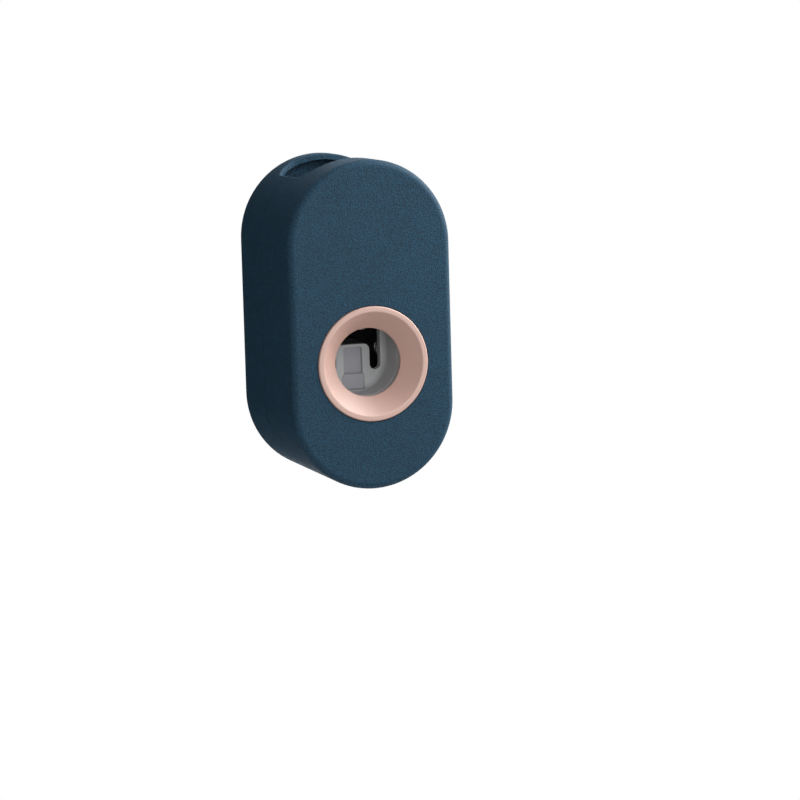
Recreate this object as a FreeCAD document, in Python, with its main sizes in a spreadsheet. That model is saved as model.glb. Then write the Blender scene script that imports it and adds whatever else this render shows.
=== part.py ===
import FreeCAD, Part
import Sketcher
import math
import os
import re

# Wall toothpaste dispenser, in millimetres.
# The wall is the plane Y = 0, the front faces -Y, Z is up and Z = 0 is half way up the casing.
# A depth is a distance from the wall towards the front, so a point at depth d has Y = -d.

SIZES = [
    # Casing
    ("body_width", 62.0),
    ("body_height", 120.0),
    ("case_depth", 59.0),
    ("rear_depth", 25.0),
    ("shell_wall", 2.2),
    ("front_wall", 2.4),
    ("back_wall", 2.2),
    ("front_round", 2.5),
    ("front_rib_side", 12.0),
    ("front_rib_width", 1.2),
    ("front_rib_height", 3.0),
    ("rear_round", 1.2),
    ("seam_step", 0.15),
    ("lip_length", 2.0),
    ("lip_width", 1.0),
    ("lip_gap", 0.15),
    # Top opening for the tube
    ("opening_width", 37.0),
    ("opening_depth", 35.0),
    ("opening_corner", 9.0),
    ("opening_rim", 0.7),
    # Case screws and their posts
    ("post_inset", 4.7),
    ("post_upper", 20.0),
    ("post_bearing", 34.0),
    ("post_radius", 3.6),
    ("sleeve_radius", 4.2),
    ("case_screw_radius", 1.5),
    ("case_head_radius", 2.75),
    ("case_head_height", 2.0),
    ("case_screw_length", 16.0),
    ("case_screw_seat", 8.0),
    ("screw_gap", 0.1),
    ("head_gap", 0.25),
    ("pilot_gap", 0.03),
    ("pilot_extra", 2.0),
    # Wall bracket
    ("tape_width", 42.0),
    ("tape_height", 82.0),
    ("tape_thickness", 1.0),
    ("tape_corner", 9.0),
    ("plate_margin", 1.0),
    ("plate_thickness", 1.8),
    ("plate_bevel", 0.6),
    ("hang_gap", 0.2),
    ("peg_side", 14.0),
    ("peg_height", 32.0),
    ("peg_radius", 3.0),
    ("peg_head_radius", 5.5),
    ("peg_head_height", 2.0),
    ("peg_bevel", 0.5),
    ("peg_gap", 0.3),
    ("key_gap", 0.3),
    ("key_entry_gap", 0.6),
    ("key_drop", 12.0),
    # Brush mouth and its trim ring
    ("mouth_drop", 14.0),
    ("mouth_radius", 12.5),
    ("mouth_land", 0.3),
    ("funnel_depth", 6.0),
    ("ring_radius", 21.0),
    ("ring_face", 2.0),
    ("ring_proud", 0.5),
    ("ring_flange", 2.2),
    ("ring_collar", 18.4),
    ("ring_gap", 0.3),
    ("ring_edge", 0.6),
    ("bead_height", 0.5),
    ("bead_width", 1.0),
    ("seat_width", 5.0),
    ("seat_height", 1.6),
    # Pusher
    ("trough_radius", 12.8),
    ("trough_wall", 2.0),
    ("trough_gap", 4.2),
    ("trough_fillet", 2.6),
    ("horn_height", 16.0),
    ("horn_side", 10.7),
    ("push_depth", 17.0),
    ("push_wall", 3.0),
    ("tongue_height", 4.7),
    ("tongue_corner", 2.2),
    ("gap_width", 4.2),
    ("gap_bottom", 5.1),
    ("ear_radius", 4.0),
    ("ear_length", 6.0),
    ("ear_root", 17.0),
    ("stud_radius", 3.0),
    ("stud_length", 3.0),
    ("stop_height", 7.7),
    ("stop_radius", 2.6),
    # Push pad
    ("pad_width", 7.2),
    ("pad_foot_width", 8.4),
    ("pad_bottom", 12.0),
    ("pad_corner", 1.0),
    ("pad_edge", 0.25),
    ("pad_recess", 1.2),
    ("pad_inlay", 0.8),
    ("pad_gap", 0.05),
    ("pad_seam", 6.2),
    ("pad_seam_width", 0.5),
    ("pad_seam_depth", 0.5),
    # Guide rods, clips and springs
    ("rod_side", 20.0),
    ("rod_radius", 1.5),
    ("rod_socket", 5.4),
    ("rod_tip", 2.2),
    ("rod_gap", 0.08),
    ("clip_radius", 3.2),
    ("clip_thickness", 0.6),
    ("clip_gap", 0.2),
    ("groove_depth", 0.4),
    ("groove_gap", 0.05),
    ("wire_radius", 0.35),
    ("coil_radius", 3.35),
    ("coil_end_gap", 0.46),
    ("spring_gap", 0.1),
    # Pump body
    ("cover_gap", 0.4),
    ("cover_thickness", 2.2),
    ("gasket_thickness", 0.8),
    ("pump_wall", 6.4),
    ("pump_side", 17.0),
    ("pump_foot", 38.0),
    ("pump_corner", 4.0),
    ("gallery_side", 10.3),
    ("gallery_rise", 13.0),
    ("gallery_height", 13.0),
    ("gallery_end", 8.0),
    ("gallery_round", 3.0),
    ("duct_radius", 3.0),
    ("duct_rise", 8.5),
    ("channel_radius", 3.5),
    ("channel_depth", 4.0),
    ("arm_side", 25.0),
    ("arm_half", 5.5),
    ("mount_side", 21.5),
    ("mount_upper", 7.0),
    ("mount_low_side", 8.0),
    ("mount_lower", 33.5),
    ("mount_post_radius", 3.5),
    ("mount_web", 3.0),
    ("mount_screw_radius", 1.3),
    ("mount_head_radius", 2.5),
    ("mount_head_height", 1.8),
    ("mount_screw_length", 6.8),
    ("register_height", 1.4),
    # Duct cover and its screws
    ("cover_side", 8.5),
    ("cover_margin", 3.0),
    ("cover_corner", 2.5),
    ("cover_screw_inset", 2.4),
    ("small_screw_radius", 1.0),
    ("small_head_radius", 1.9),
    ("small_head_height", 1.4),
    ("small_screw_length", 6.0),
    # Bellows and its clamp
    ("bellows_radius", 10.2),
    ("bellows_root", 6.8),
    ("bellows_wall", 1.2),
    ("bellows_flange", 12.2),
    ("bellows_flange_height", 1.5),
    ("bellows_cap", 2.5),
    ("bellows_boss", 4.6),
    ("bellows_gap", 0.1),
    ("clamp_radius", 12.7),
    ("clamp_inner", 10.6),
    ("clamp_height", 2.0),
    ("clamp_ear", 2.4),
    ("clamp_screw_circle", 15.4),
    ("clamp_bearing", 35.0),
    # Tube socket
    ("socket_radius", 16.0),
    ("socket_bore", 13.6),
    ("socket_floor", 3.0),
    ("socket_depth", 14.0),
    ("seal_gap", 0.05),
    ("seal_height", 11.0),
    ("neck_radius", 6.4),
    ("neck_length", 4.5),
    ("neck_step", 2.0),
    ("seal_outlet", 4.2),
    ("seal_mouth", 11.5),
    ("collar_bore", 12.0),
    ("collar_flange", 1.5),
    ("collar_bevel", 1.0),
    # Valves and nozzle
    ("valve_radius", 2.8),
    ("valve_bore", 1.8),
    ("valve_flange", 4.4),
    ("valve_flange_height", 1.25),
    ("valve_neck", 2.4),
    ("valve_bill", 2.6),
    ("valve_lip", 0.9),
    ("valve_slit", 0.3),
    ("valve_gap", 0.08),
    ("port_radius", 3.2),
    ("outlet_setback", 17.0),
    ("nozzle_radius", 6.4),
    ("nozzle_gap", 0.05),
    ("nozzle_seat", 2.8),
    ("nozzle_tip_radius", 4.6),
    ("nozzle_tip_length", 1.5),
    ("nozzle_taper", 0.5),
]

COIL_TURNS = 6.5
COIL_END_TURNS = 1.0
BELLOWS_FOLDS = 3

# Places that several pieces share
PLATE_FACE = "(tape_thickness + plate_thickness)"
CASE_BACK = f"({PLATE_FACE} + hang_gap)"
SEAM = f"({CASE_BACK} + rear_depth)"
CASE_FRONT = f"({CASE_BACK} + case_depth)"
BACK_INSIDE = f"({CASE_BACK} + back_wall)"
FRONT_INSIDE = f"({CASE_FRONT} - front_wall)"
END_RADIUS = "(body_width / 2)"
END_HEIGHT = "((body_height - body_width) / 2)"
POST_SIDE = f"({END_RADIUS} - post_inset)"
WALL_MIDDLE = f"({END_RADIUS} - shell_wall / 2)"
RIB_TOP = f"({END_HEIGHT} + sqrt({WALL_MIDDLE} ^ 2 - front_rib_side ^ 2))"
CASE_SEAT = f"({SEAM} - case_screw_seat)"
PEG_HEAD_BACK = f"({BACK_INSIDE} + peg_gap)"
MOUTH = "(-mouth_drop)"
RING_SEAT = f"({CASE_FRONT} + ring_proud - ring_flange)"
SEAT_BACK = f"({FRONT_INSIDE} - seat_height)"
MOUTH_EDGE = f"({CASE_FRONT} - funnel_depth)"
RING_BACK = f"({MOUTH_EDGE} - mouth_land)"
TROUGH_FRONT = f"({RING_BACK} - trough_gap)"
TROUGH_OUTER = "(trough_radius + trough_wall)"
PUSH_FRONT = f"({MOUTH_EDGE} - push_depth)"
PUSH_BACK = f"({PUSH_FRONT} - push_wall)"
PAD_FACE = f"({PUSH_FRONT} - pad_recess)"
PAD_BACK = f"({PAD_FACE} - pad_inlay)"
GAP_SIDE = "(horn_side - gap_width / 2)"
TONGUE_TOP = f"({MOUTH} + tongue_height)"
EAR_BACK = f"({PUSH_FRONT} - ear_length)"
CLIP_BACK = f"({PUSH_FRONT} + clip_gap)"
ROD_FRONT = f"({CLIP_BACK} + clip_thickness + rod_tip)"
COVER_BACK = f"({BACK_INSIDE} + cover_gap)"
GASKET_BACK = f"({COVER_BACK} + cover_thickness)"
PUMP_BACK = f"({GASKET_BACK} + gasket_thickness)"
PUMP_FACE = f"({PUMP_BACK} + pump_wall)"
MOUNT_SEAT = f"({PUMP_BACK} + mount_web)"
GALLERY_BOTTOM = f"({MOUTH} + gallery_rise)"
GALLERY_TOP = f"({GALLERY_BOTTOM} + gallery_height)"
OUTLET_PLACE = f"({CASE_FRONT} - outlet_setback)"
GALLERY_FRONT = f"({OUTLET_PLACE} + gallery_end)"
DUCT = f"({GALLERY_BOTTOM} + duct_rise)"
SOCKET_PLACE = SEAM
SOCKET_FLOOR = f"({GALLERY_TOP} + socket_floor)"
SOCKET_TOP = f"({SOCKET_FLOOR} + socket_depth)"
SEAL_TOP = f"({SOCKET_FLOOR} + seal_height)"
NOZZLE_TOP = f"({GALLERY_BOTTOM} + nozzle_seat)"
COVER_TOP = f"({DUCT} + channel_radius + cover_margin)"
COVER_BOTTOM = f"({MOUTH} - channel_radius - cover_margin)"
CLAMP_BACK = f"({PUMP_FACE} + bellows_flange_height)"
CLAMP_FRONT = f"({CLAMP_BACK} + clamp_height)"

document = FreeCAD.newDocument("toothpaste_dispenser")
sheet = document.addObject("Spreadsheet::Sheet", "Sizes")
for row, (alias, value) in enumerate(SIZES, start=1):
    sheet.set(f"A{row}", alias)
    sheet.set(f"B{row}", str(value))
    sheet.setAlias(f"B{row}", alias)
document.recompute()


def bound(text):
    """The expression with each size read from the sheet."""
    return re.sub(r"[a-z]+_[a-z_]+", lambda found: "Sizes." + found.group(0), text)


def size(text):
    """The value of an expression over the sizes."""
    return float(sheet.evalExpression(bound(text)))


def body_named(name):
    body = document.addObject("PartDesign::Body", name)
    body.Label = name
    body.AllowCompound = True
    return body


def sketch(body, name, role, offset="0", rise="0"):
    """A sketch on one of the body's origin planes, moved along its normal and up in its plane."""
    plane = next(item for item in body.Origin.OriginFeatures if item.Role == role)
    drawing = body.newObject("Sketcher::SketchObject", f"{body.Name}_{name}")
    drawing.AttachmentSupport = [(plane, "")]
    drawing.MapMode = "FlatFace"
    drawing.setExpression("AttachmentOffset.Base.z", bound(offset))
    drawing.setExpression("AttachmentOffset.Base.y", bound(rise))
    drawing.Visibility = False
    return drawing


def front_sketch(body, name, depth):
    """A sketch that faces the front at a depth: its x is X and its y is Z."""
    return sketch(body, name, "XZ_Plane", depth)


def level_sketch(body, name, height):
    """A sketch that faces up at a height: its x is X and its y is Y."""
    return sketch(body, name, "XY_Plane", height)


def dimension(drawing, kind, text, *where):
    index = drawing.addConstraint(Sketcher.Constraint(kind, *where, size(text)))
    drawing.setExpression(f"Constraints[{index}]", bound(text))


def pin(drawing, edge, end, x, y):
    """One point of a sketch edge at a place measured from the sketch's origin."""
    dimension(drawing, "DistanceX", x, -1, 1, edge, end)
    dimension(drawing, "DistanceY", y, -1, 1, edge, end)


def circle(drawing, x, y, radius):
    centre = FreeCAD.Vector(size(x), size(y), 0)
    edge = drawing.addGeometry(Part.Circle(centre, FreeCAD.Vector(0, 0, 1), size(radius)))
    pin(drawing, edge, 3, x, y)
    dimension(drawing, "Radius", radius, edge)


def polygon(drawing, corners):
    """A closed outline of straight edges."""
    spots = [FreeCAD.Vector(size(x), size(y), 0) for x, y in corners]
    count = len(corners)
    first = drawing.GeometryCount
    for index in range(count):
        drawing.addGeometry(Part.LineSegment(spots[index], spots[(index + 1) % count]))
    for index in range(count):
        after = first + (index + 1) % count
        drawing.addConstraint(Sketcher.Constraint("Coincident", first + index, 2, after, 1))
    for index, (x, y) in enumerate(corners):
        pin(drawing, first + index, 1, x, y)


def rectangle(drawing, left, right, bottom, top):
    polygon(drawing, [(left, bottom), (right, bottom), (right, top), (left, top)])


def belt(drawing, centres, radius):
    """A closed outline of equal arcs, anticlockwise, joined by lines tangent to them."""
    spots = [FreeCAD.Vector(size(x), size(y), 0) for x, y in centres]
    count = len(centres)
    reach = size(radius)
    outward = []
    for index in range(count):
        along = spots[(index + 1) % count] - spots[index]
        outward.append(math.atan2(-along.x, along.y))
    first = drawing.GeometryCount
    for index in range(count):
        start = outward[index - 1]
        finish = outward[index]
        while finish <= start:
            finish += 2 * math.pi
        round_end = Part.Circle(spots[index], FreeCAD.Vector(0, 0, 1), reach)
        drawing.addGeometry(Part.ArcOfCircle(round_end, start, finish))
        step = FreeCAD.Vector(reach * math.cos(outward[index]), reach * math.sin(outward[index]), 0)
        drawing.addGeometry(Part.LineSegment(spots[index] + step, spots[(index + 1) % count] + step))
    for index in range(count):
        arc = first + 2 * index
        after = first + 2 * ((index + 1) % count)
        drawing.addConstraint(Sketcher.Constraint("Tangent", arc, 2, arc + 1, 1))
        drawing.addConstraint(Sketcher.Constraint("Tangent", arc + 1, 2, after, 1))
    for index, (x, y) in enumerate(centres):
        pin(drawing, first + 2 * index, 3, x, y)
        dimension(drawing, "Radius", radius, first + 2 * index)


def capsule(drawing, inset):
    """The casing's outline, drawn in by an inset."""
    belt(drawing, [("0", f"-{END_HEIGHT}"), ("0", END_HEIGHT)], f"{END_RADIUS} - {inset}")


def rounded_rectangle(drawing, left, right, bottom, top, corner):
    near_left = f"{left} + {corner}"
    near_right = f"{right} - {corner}"
    near_bottom = f"{bottom} + {corner}"
    near_top = f"{top} - {corner}"
    right_side = [(near_right, near_bottom), (near_right, near_top)]
    left_side = [(near_left, near_top), (near_left, near_bottom)]
    belt(drawing, right_side + left_side, corner)


def trough(drawing, radius, top):
    """A U outline: a half circle round the mouth's axis below, straight sides up to a level top."""
    reach = size(radius)
    centre = FreeCAD.Vector(0, size(MOUTH), 0)
    height = size(top)
    round_end = Part.Circle(centre, FreeCAD.Vector(0, 0, 1), reach)
    low_left = FreeCAD.Vector(-reach, centre.y, 0)
    low_right = FreeCAD.Vector(reach, centre.y, 0)
    high_right = FreeCAD.Vector(reach, height, 0)
    high_left = FreeCAD.Vector(-reach, height, 0)
    arc = drawing.addGeometry(Part.ArcOfCircle(round_end, math.pi, 2 * math.pi))
    right = drawing.addGeometry(Part.LineSegment(low_right, high_right))
    across = drawing.addGeometry(Part.LineSegment(high_right, high_left))
    left = drawing.addGeometry(Part.LineSegment(high_left, low_left))
    drawing.addConstraint(Sketcher.Constraint("Tangent", arc, 2, right, 1))
    drawing.addConstraint(Sketcher.Constraint("Coincident", right, 2, across, 1))
    drawing.addConstraint(Sketcher.Constraint("Coincident", across, 2, left, 1))
    drawing.addConstraint(Sketcher.Constraint("Tangent", left, 2, arc, 1))
    drawing.addConstraint(Sketcher.Constraint("Vertical", right))
    drawing.addConstraint(Sketcher.Constraint("Horizontal", across))
    drawing.addConstraint(Sketcher.Constraint("Vertical", left))
    pin(drawing, arc, 3, "0", MOUTH)
    dimension(drawing, "Radius", radius, arc)
    dimension(drawing, "DistanceY", top, -1, 1, right, 2)


def pad(drawing, name, length):
    """Material from the sketch along its normal: to the front, or up."""
    body = drawing.getParentGeoFeatureGroup()
    feature = body.newObject("PartDesign::Pad", f"{body.Name}_{name}")
    feature.Profile = drawing
    feature.setExpression("Length", bound(length))
    document.recompute()
    return feature


def pocket(drawing, name, length, along=True):
    """A cut from the sketch along its normal, or against it."""
    body = drawing.getParentGeoFeatureGroup()
    before = body.Shape.Volume
    feature = body.newObject("PartDesign::Pocket", f"{body.Name}_{name}")
    feature.Profile = drawing
    feature.Reversed = along
    feature.setExpression("Length", bound(length))
    document.recompute()
    if not body.Shape.Volume < before:
        raise RuntimeError(f"{feature.Name} removes nothing")
    return feature


def turn(drawing, name, axis):
    """A solid turned from a profile about one of the sketch's axes."""
    body = drawing.getParentGeoFeatureGroup()
    feature = body.newObject("PartDesign::Revolution", f"{body.Name}_{name}")
    feature.Profile = drawing
    feature.ReferenceAxis = (drawing, [axis])
    feature.Angle = 360.0
    document.recompute()
    return feature


def turned_on_mouth(body, name, profile):
    """A solid turned about the mouth's axis from corners given as radius and depth."""
    drawing = sketch(body, f"{name}_profile", "YZ_Plane", "0", MOUTH)
    polygon(drawing, [(f"-({depth})", radius) for radius, depth in profile])
    return turn(drawing, name, "H_Axis")


def turned_upright(body, name, place, profile):
    """A solid turned about an upright axis at a depth from corners given as radius and height."""
    drawing = front_sketch(body, f"{name}_profile", place)
    polygon(drawing, profile)
    return turn(drawing, name, "V_Axis")


def dress(kind, base, name, sizing, text, wanted):
    """A fillet or chamfer on the edges of a feature that pass a test."""
    body = base.getParentGeoFeatureGroup()
    edges = [f"Edge{index}" for index, edge in enumerate(base.Shape.Edges, start=1) if wanted(edge)]
    if not edges:
        raise RuntimeError(f"{name} finds no edge")
    feature = body.newObject(f"PartDesign::{kind}", f"{body.Name}_{name}")
    feature.Base = (base, edges)
    feature.setExpression(sizing, bound(text))
    document.recompute()
    return feature


def fillet(base, name, radius, wanted):
    return dress("Fillet", base, name, "Radius", radius, wanted)


def chamfer(base, name, width, wanted):
    return dress("Chamfer", base, name, "Size", width, wanted)


def at_depth(depth):
    """A test for edges that lie flat at one depth."""
    place = -size(depth)
    return lambda edge: max(abs(edge.BoundBox.YMin - place), abs(edge.BoundBox.YMax - place)) < 1e-4


def ring_edge(radius, depth):
    """A test for circles about the mouth's axis."""
    flat = at_depth(depth)
    reach = size(radius)
    return lambda edge: flat(edge) and hasattr(edge.Curve, "Radius") and abs(edge.Curve.Radius - reach) < 1e-4


def upright(edge):
    return edge.BoundBox.XLength < 1e-4


def post_places():
    """Upper posts at the straight sides, lower posts round the bottom end."""
    across = f"{POST_SIDE} * cos(post_bearing * 1 deg)"
    down = f"{END_HEIGHT} + {POST_SIDE} * sin(post_bearing * 1 deg)"
    upper = [(f"{sign}{POST_SIDE}", "post_upper") for sign in ("", "-")]
    lower = [(f"{sign}{across}", f"-({down})") for sign in ("", "-")]
    return upper + lower


def mount_places():
    upper = [(f"{sign}mount_side", "mount_upper") for sign in ("", "-")]
    lower = [(f"{sign}mount_low_side", "-mount_lower") for sign in ("", "-")]
    return upper + lower


def cover_screw_places():
    side = "cover_side - cover_screw_inset"
    low = f"{COVER_BOTTOM} + cover_screw_inset"
    high = f"{COVER_TOP} - cover_screw_inset"
    return [(f"{sign}({side})", height) for sign in ("", "-") for height in (low, high)]


def clamp_places(radius):
    """Places on a circle about the mouth's axis, one for each clamp screw."""
    across = f"({radius}) * cos(clamp_bearing * 1 deg)"
    up = f"({radius}) * sin(clamp_bearing * 1 deg)"
    return [(f"{side}{across}", f"{MOUTH} {rise} {up}") for side in ("", "-") for rise in ("+", "-")]


def clamp_screw_places():
    return clamp_places("clamp_screw_circle")


def rod_places():
    return [(f"{sign}rod_side", MOUTH) for sign in ("", "-")]


def circles(drawing, places, radius):
    for x, y in places:
        circle(drawing, x, y, radius)
    return drawing


def cut_top_opening(block):
    """The opening for the tube down into the round top, across the parting line, with its rim rounded."""
    body = block.getParentGeoFeatureGroup()
    drawing = level_sketch(body, "opening", END_HEIGHT)
    half = "(opening_width / 2)"
    back = f"(-{SEAM} - opening_depth / 2)"
    front = f"(-{SEAM} + opening_depth / 2)"
    rounded_rectangle(drawing, f"-{half}", half, back, front, "opening_corner")
    opening = pocket(drawing, "opening_cut", END_RADIUS)
    reach = size(END_RADIUS)
    centre = size(END_HEIGHT)
    inside = 1e-3

    def in_rim(point):
        on_top = abs(math.hypot(point.x, point.z - centre) - reach) < inside and point.z > centre
        across = abs(point.x) <= size(half) + inside
        deep = abs(point.y + size(SEAM)) <= size("opening_depth / 2") + inside
        return on_top and across and deep

    def rim(edge):
        middle = edge.valueAt((edge.FirstParameter + edge.LastParameter) / 2)
        return in_rim(middle) and all(in_rim(vertex.Point) for vertex in edge.Vertexes)

    fillet(opening, "opening_rim", "opening_rim", rim)


def cut_seam_step(body, depth):
    """A small step round the outline, half of the line between the two shells."""
    step = front_sketch(body, "seam_step", depth)
    capsule(step, "0")
    capsule(step, "seam_step")
    pocket(step, "seam_step_cut", "seam_step")


# Front shell
def make_front_shell():
    body = body_named("front_shell")
    outline = front_sketch(body, "outline", SEAM)
    capsule(outline, "0")
    block = pad(outline, "block", f"{CASE_FRONT} - {SEAM}")
    block = fillet(block, "front_edge", "front_round", at_depth(CASE_FRONT))
    cut_top_opening(block)
    cut_seam_step(body, SEAM)
    hollow = front_sketch(body, "hollow", SEAM)
    capsule(hollow, "shell_wall")
    pocket(hollow, "hollow_cut", f"{FRONT_INSIDE} - {SEAM}")
    rebate = front_sketch(body, "rebate", SEAM)
    capsule(rebate, "(shell_wall - lip_width)")
    pocket(rebate, "rebate_cut", "lip_length + lip_gap")
    seat = front_sketch(body, "seat", SEAT_BACK)
    circle(seat, "0", MOUTH, "ring_collar + seat_width")
    pad(seat, "seat_boss", "seat_height")
    ribs = front_sketch(body, "ribs", f"{FRONT_INSIDE} - front_rib_height")
    half = "front_rib_width / 2"
    for side in ("front_rib_side", "-front_rib_side"):
        rectangle(ribs, f"{side} - {half}", f"{side} + {half}", f"{MOUTH} + ring_radius", RIB_TOP)
    pad(ribs, "front_ribs", "front_rib_height")
    posts = circles(front_sketch(body, "posts", SEAM), post_places(), "post_radius")
    pad(posts, "post_bosses", f"{FRONT_INSIDE} - {SEAM}")
    collar = front_sketch(body, "collar", SEAT_BACK)
    circle(collar, "0", MOUTH, "ring_collar + ring_gap")
    pocket(collar, "collar_hole", f"{CASE_FRONT} - {SEAT_BACK}")
    flange = front_sketch(body, "flange", RING_SEAT)
    circle(flange, "0", MOUTH, "ring_radius + ring_gap")
    pocket(flange, "flange_seat", f"{CASE_FRONT} - {RING_SEAT}")
    pilots = circles(front_sketch(body, "pilots", SEAM), post_places(), "case_screw_radius + pilot_gap")
    pocket(pilots, "pilot_holes", "case_screw_length - case_screw_seat + pilot_extra")
    return body


# Rear shell
def make_rear_shell():
    body = body_named("rear_shell")
    outline = front_sketch(body, "outline", CASE_BACK)
    capsule(outline, "0")
    block = pad(outline, "block", "rear_depth")
    block = fillet(block, "rear_edge", "rear_round", at_depth(CASE_BACK))
    cut_top_opening(block)
    cut_seam_step(body, f"{SEAM} - seam_step")
    hollow = front_sketch(body, "hollow", BACK_INSIDE)
    capsule(hollow, "shell_wall")
    pocket(hollow, "hollow_cut", f"{SEAM} - {BACK_INSIDE}")
    lip = front_sketch(body, "lip", SEAM)
    capsule(lip, "(shell_wall - lip_width + lip_gap)")
    capsule(lip, "shell_wall")
    pad(lip, "lip_rim", "lip_length")
    clear = front_sketch(body, "lip_clear", SEAM)
    half = "(opening_width / 2 + lip_gap)"
    rectangle(clear, f"-{half}", half, END_HEIGHT, f"{END_HEIGHT} + {END_RADIUS}")
    pocket(clear, "lip_opening", "lip_length")
    reliefs = circles(front_sketch(body, "reliefs", SEAM), post_places(), "post_radius + lip_gap")
    pocket(reliefs, "lip_reliefs", "lip_length")
    sleeves = circles(front_sketch(body, "sleeves", BACK_INSIDE), post_places(), "sleeve_radius")
    pad(sleeves, "screw_sleeves", f"{SEAM} - {BACK_INSIDE}")
    mounts = circles(front_sketch(body, "mounts", BACK_INSIDE), mount_places(), "mount_post_radius")
    pad(mounts, "mount_posts", f"{PUMP_BACK} - {BACK_INSIDE}")
    heads = circles(front_sketch(body, "heads", CASE_BACK), post_places(), "case_head_radius + head_gap")
    pocket(heads, "head_wells", f"{CASE_SEAT} - {CASE_BACK}")
    holes = circles(front_sketch(body, "holes", CASE_SEAT), post_places(), "case_screw_radius + screw_gap")
    pocket(holes, "screw_holes", "case_screw_seat")
    pilots = front_sketch(body, "pilots", PUMP_BACK)
    circles(pilots, mount_places(), "mount_screw_radius + pilot_gap")
    pocket(pilots, "pilot_holes", "mount_screw_length - mount_web + pilot_gap", along=False)
    entries = front_sketch(body, "entries", CASE_BACK)
    low = "peg_height - key_drop"
    circles(entries, [("peg_side", low), ("-peg_side", low)], "peg_head_radius + key_entry_gap")
    pocket(entries, "key_entries", "back_wall")
    slots = front_sketch(body, "slots", CASE_BACK)
    for side in ("peg_side", "-peg_side"):
        belt(slots, [(side, low), (side, "peg_height")], "peg_radius + key_gap")
    pocket(slots, "key_slots", "back_wall")
    return body


# Trim ring round the brush mouth
def make_trim_ring():
    body = body_named("trim_ring")
    front = f"{CASE_FRONT} + ring_proud"
    bead = "ring_collar + bead_height"
    profile = [
        ("mouth_radius", RING_BACK),
        ("ring_collar", RING_BACK),
        ("ring_collar", f"{SEAT_BACK} - ring_gap - bead_width"),
        (bead, f"{SEAT_BACK} - ring_gap - bead_width / 2"),
        ("ring_collar", f"{SEAT_BACK} - ring_gap"),
        ("ring_collar", RING_SEAT),
        ("ring_radius", RING_SEAT),
        ("ring_radius", front),
        ("ring_radius - ring_face", front),
        ("mouth_radius", MOUTH_EDGE),
    ]
    ring = turned_on_mouth(body, "ring", profile)
    outer = ring_edge("ring_radius", front)
    inner = ring_edge("ring_radius - ring_face", front)
    ring = fillet(ring, "face_edges", "ring_edge", lambda edge: outer(edge) or inner(edge))
    fillet(ring, "mouth_edge", "ring_edge", ring_edge("mouth_radius", MOUTH_EDGE))
    return body


# Case screws, heads at the back
def make_case_screws():
    body = body_named("case_screws")
    heads = front_sketch(body, "heads", f"{CASE_SEAT} - case_head_height")
    pad(circles(heads, post_places(), "case_head_radius"), "screw_heads", "case_head_height")
    shanks = front_sketch(body, "shanks", CASE_SEAT)
    pad(circles(shanks, post_places(), "case_screw_radius"), "screw_shanks", "case_screw_length")
    return body


# Wall plate with its headed pegs
def make_wall_plate():
    body = body_named("wall_plate")
    plate = front_sketch(body, "plate", "tape_thickness")
    wide = "(tape_width / 2 + plate_margin)"
    tall = "(tape_height / 2 + plate_margin)"
    rounded_rectangle(plate, f"-{wide}", wide, f"-{tall}", tall, "(tape_corner + plate_margin)")
    plate_block = pad(plate, "plate_pad", "plate_thickness")
    chamfer(plate_block, "front_edge", "plate_bevel", at_depth(PLATE_FACE))
    pegs = [("peg_side", "peg_height"), ("-peg_side", "peg_height")]
    stems = circles(front_sketch(body, "stems", PLATE_FACE), pegs, "peg_radius")
    pad(stems, "peg_stems", f"{PEG_HEAD_BACK} - {PLATE_FACE}")
    heads = circles(front_sketch(body, "heads", PEG_HEAD_BACK), pegs, "peg_head_radius")
    head_block = pad(heads, "peg_heads", "peg_head_height")
    chamfer(head_block, "head_edges", "peg_bevel", at_depth(f"{PEG_HEAD_BACK} + peg_head_height"))
    return body


# Adhesive pad between the wall plate and the wall
def make_adhesive_pad():
    body = body_named("adhesive_pad")
    outline = front_sketch(body, "outline", "0")
    wide = "(tape_width / 2)"
    tall = "(tape_height / 2)"
    rounded_rectangle(outline, f"-{wide}", wide, f"-{tall}", tall, "tape_corner")
    pad(outline, "sheet", "tape_thickness")
    return body


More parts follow.
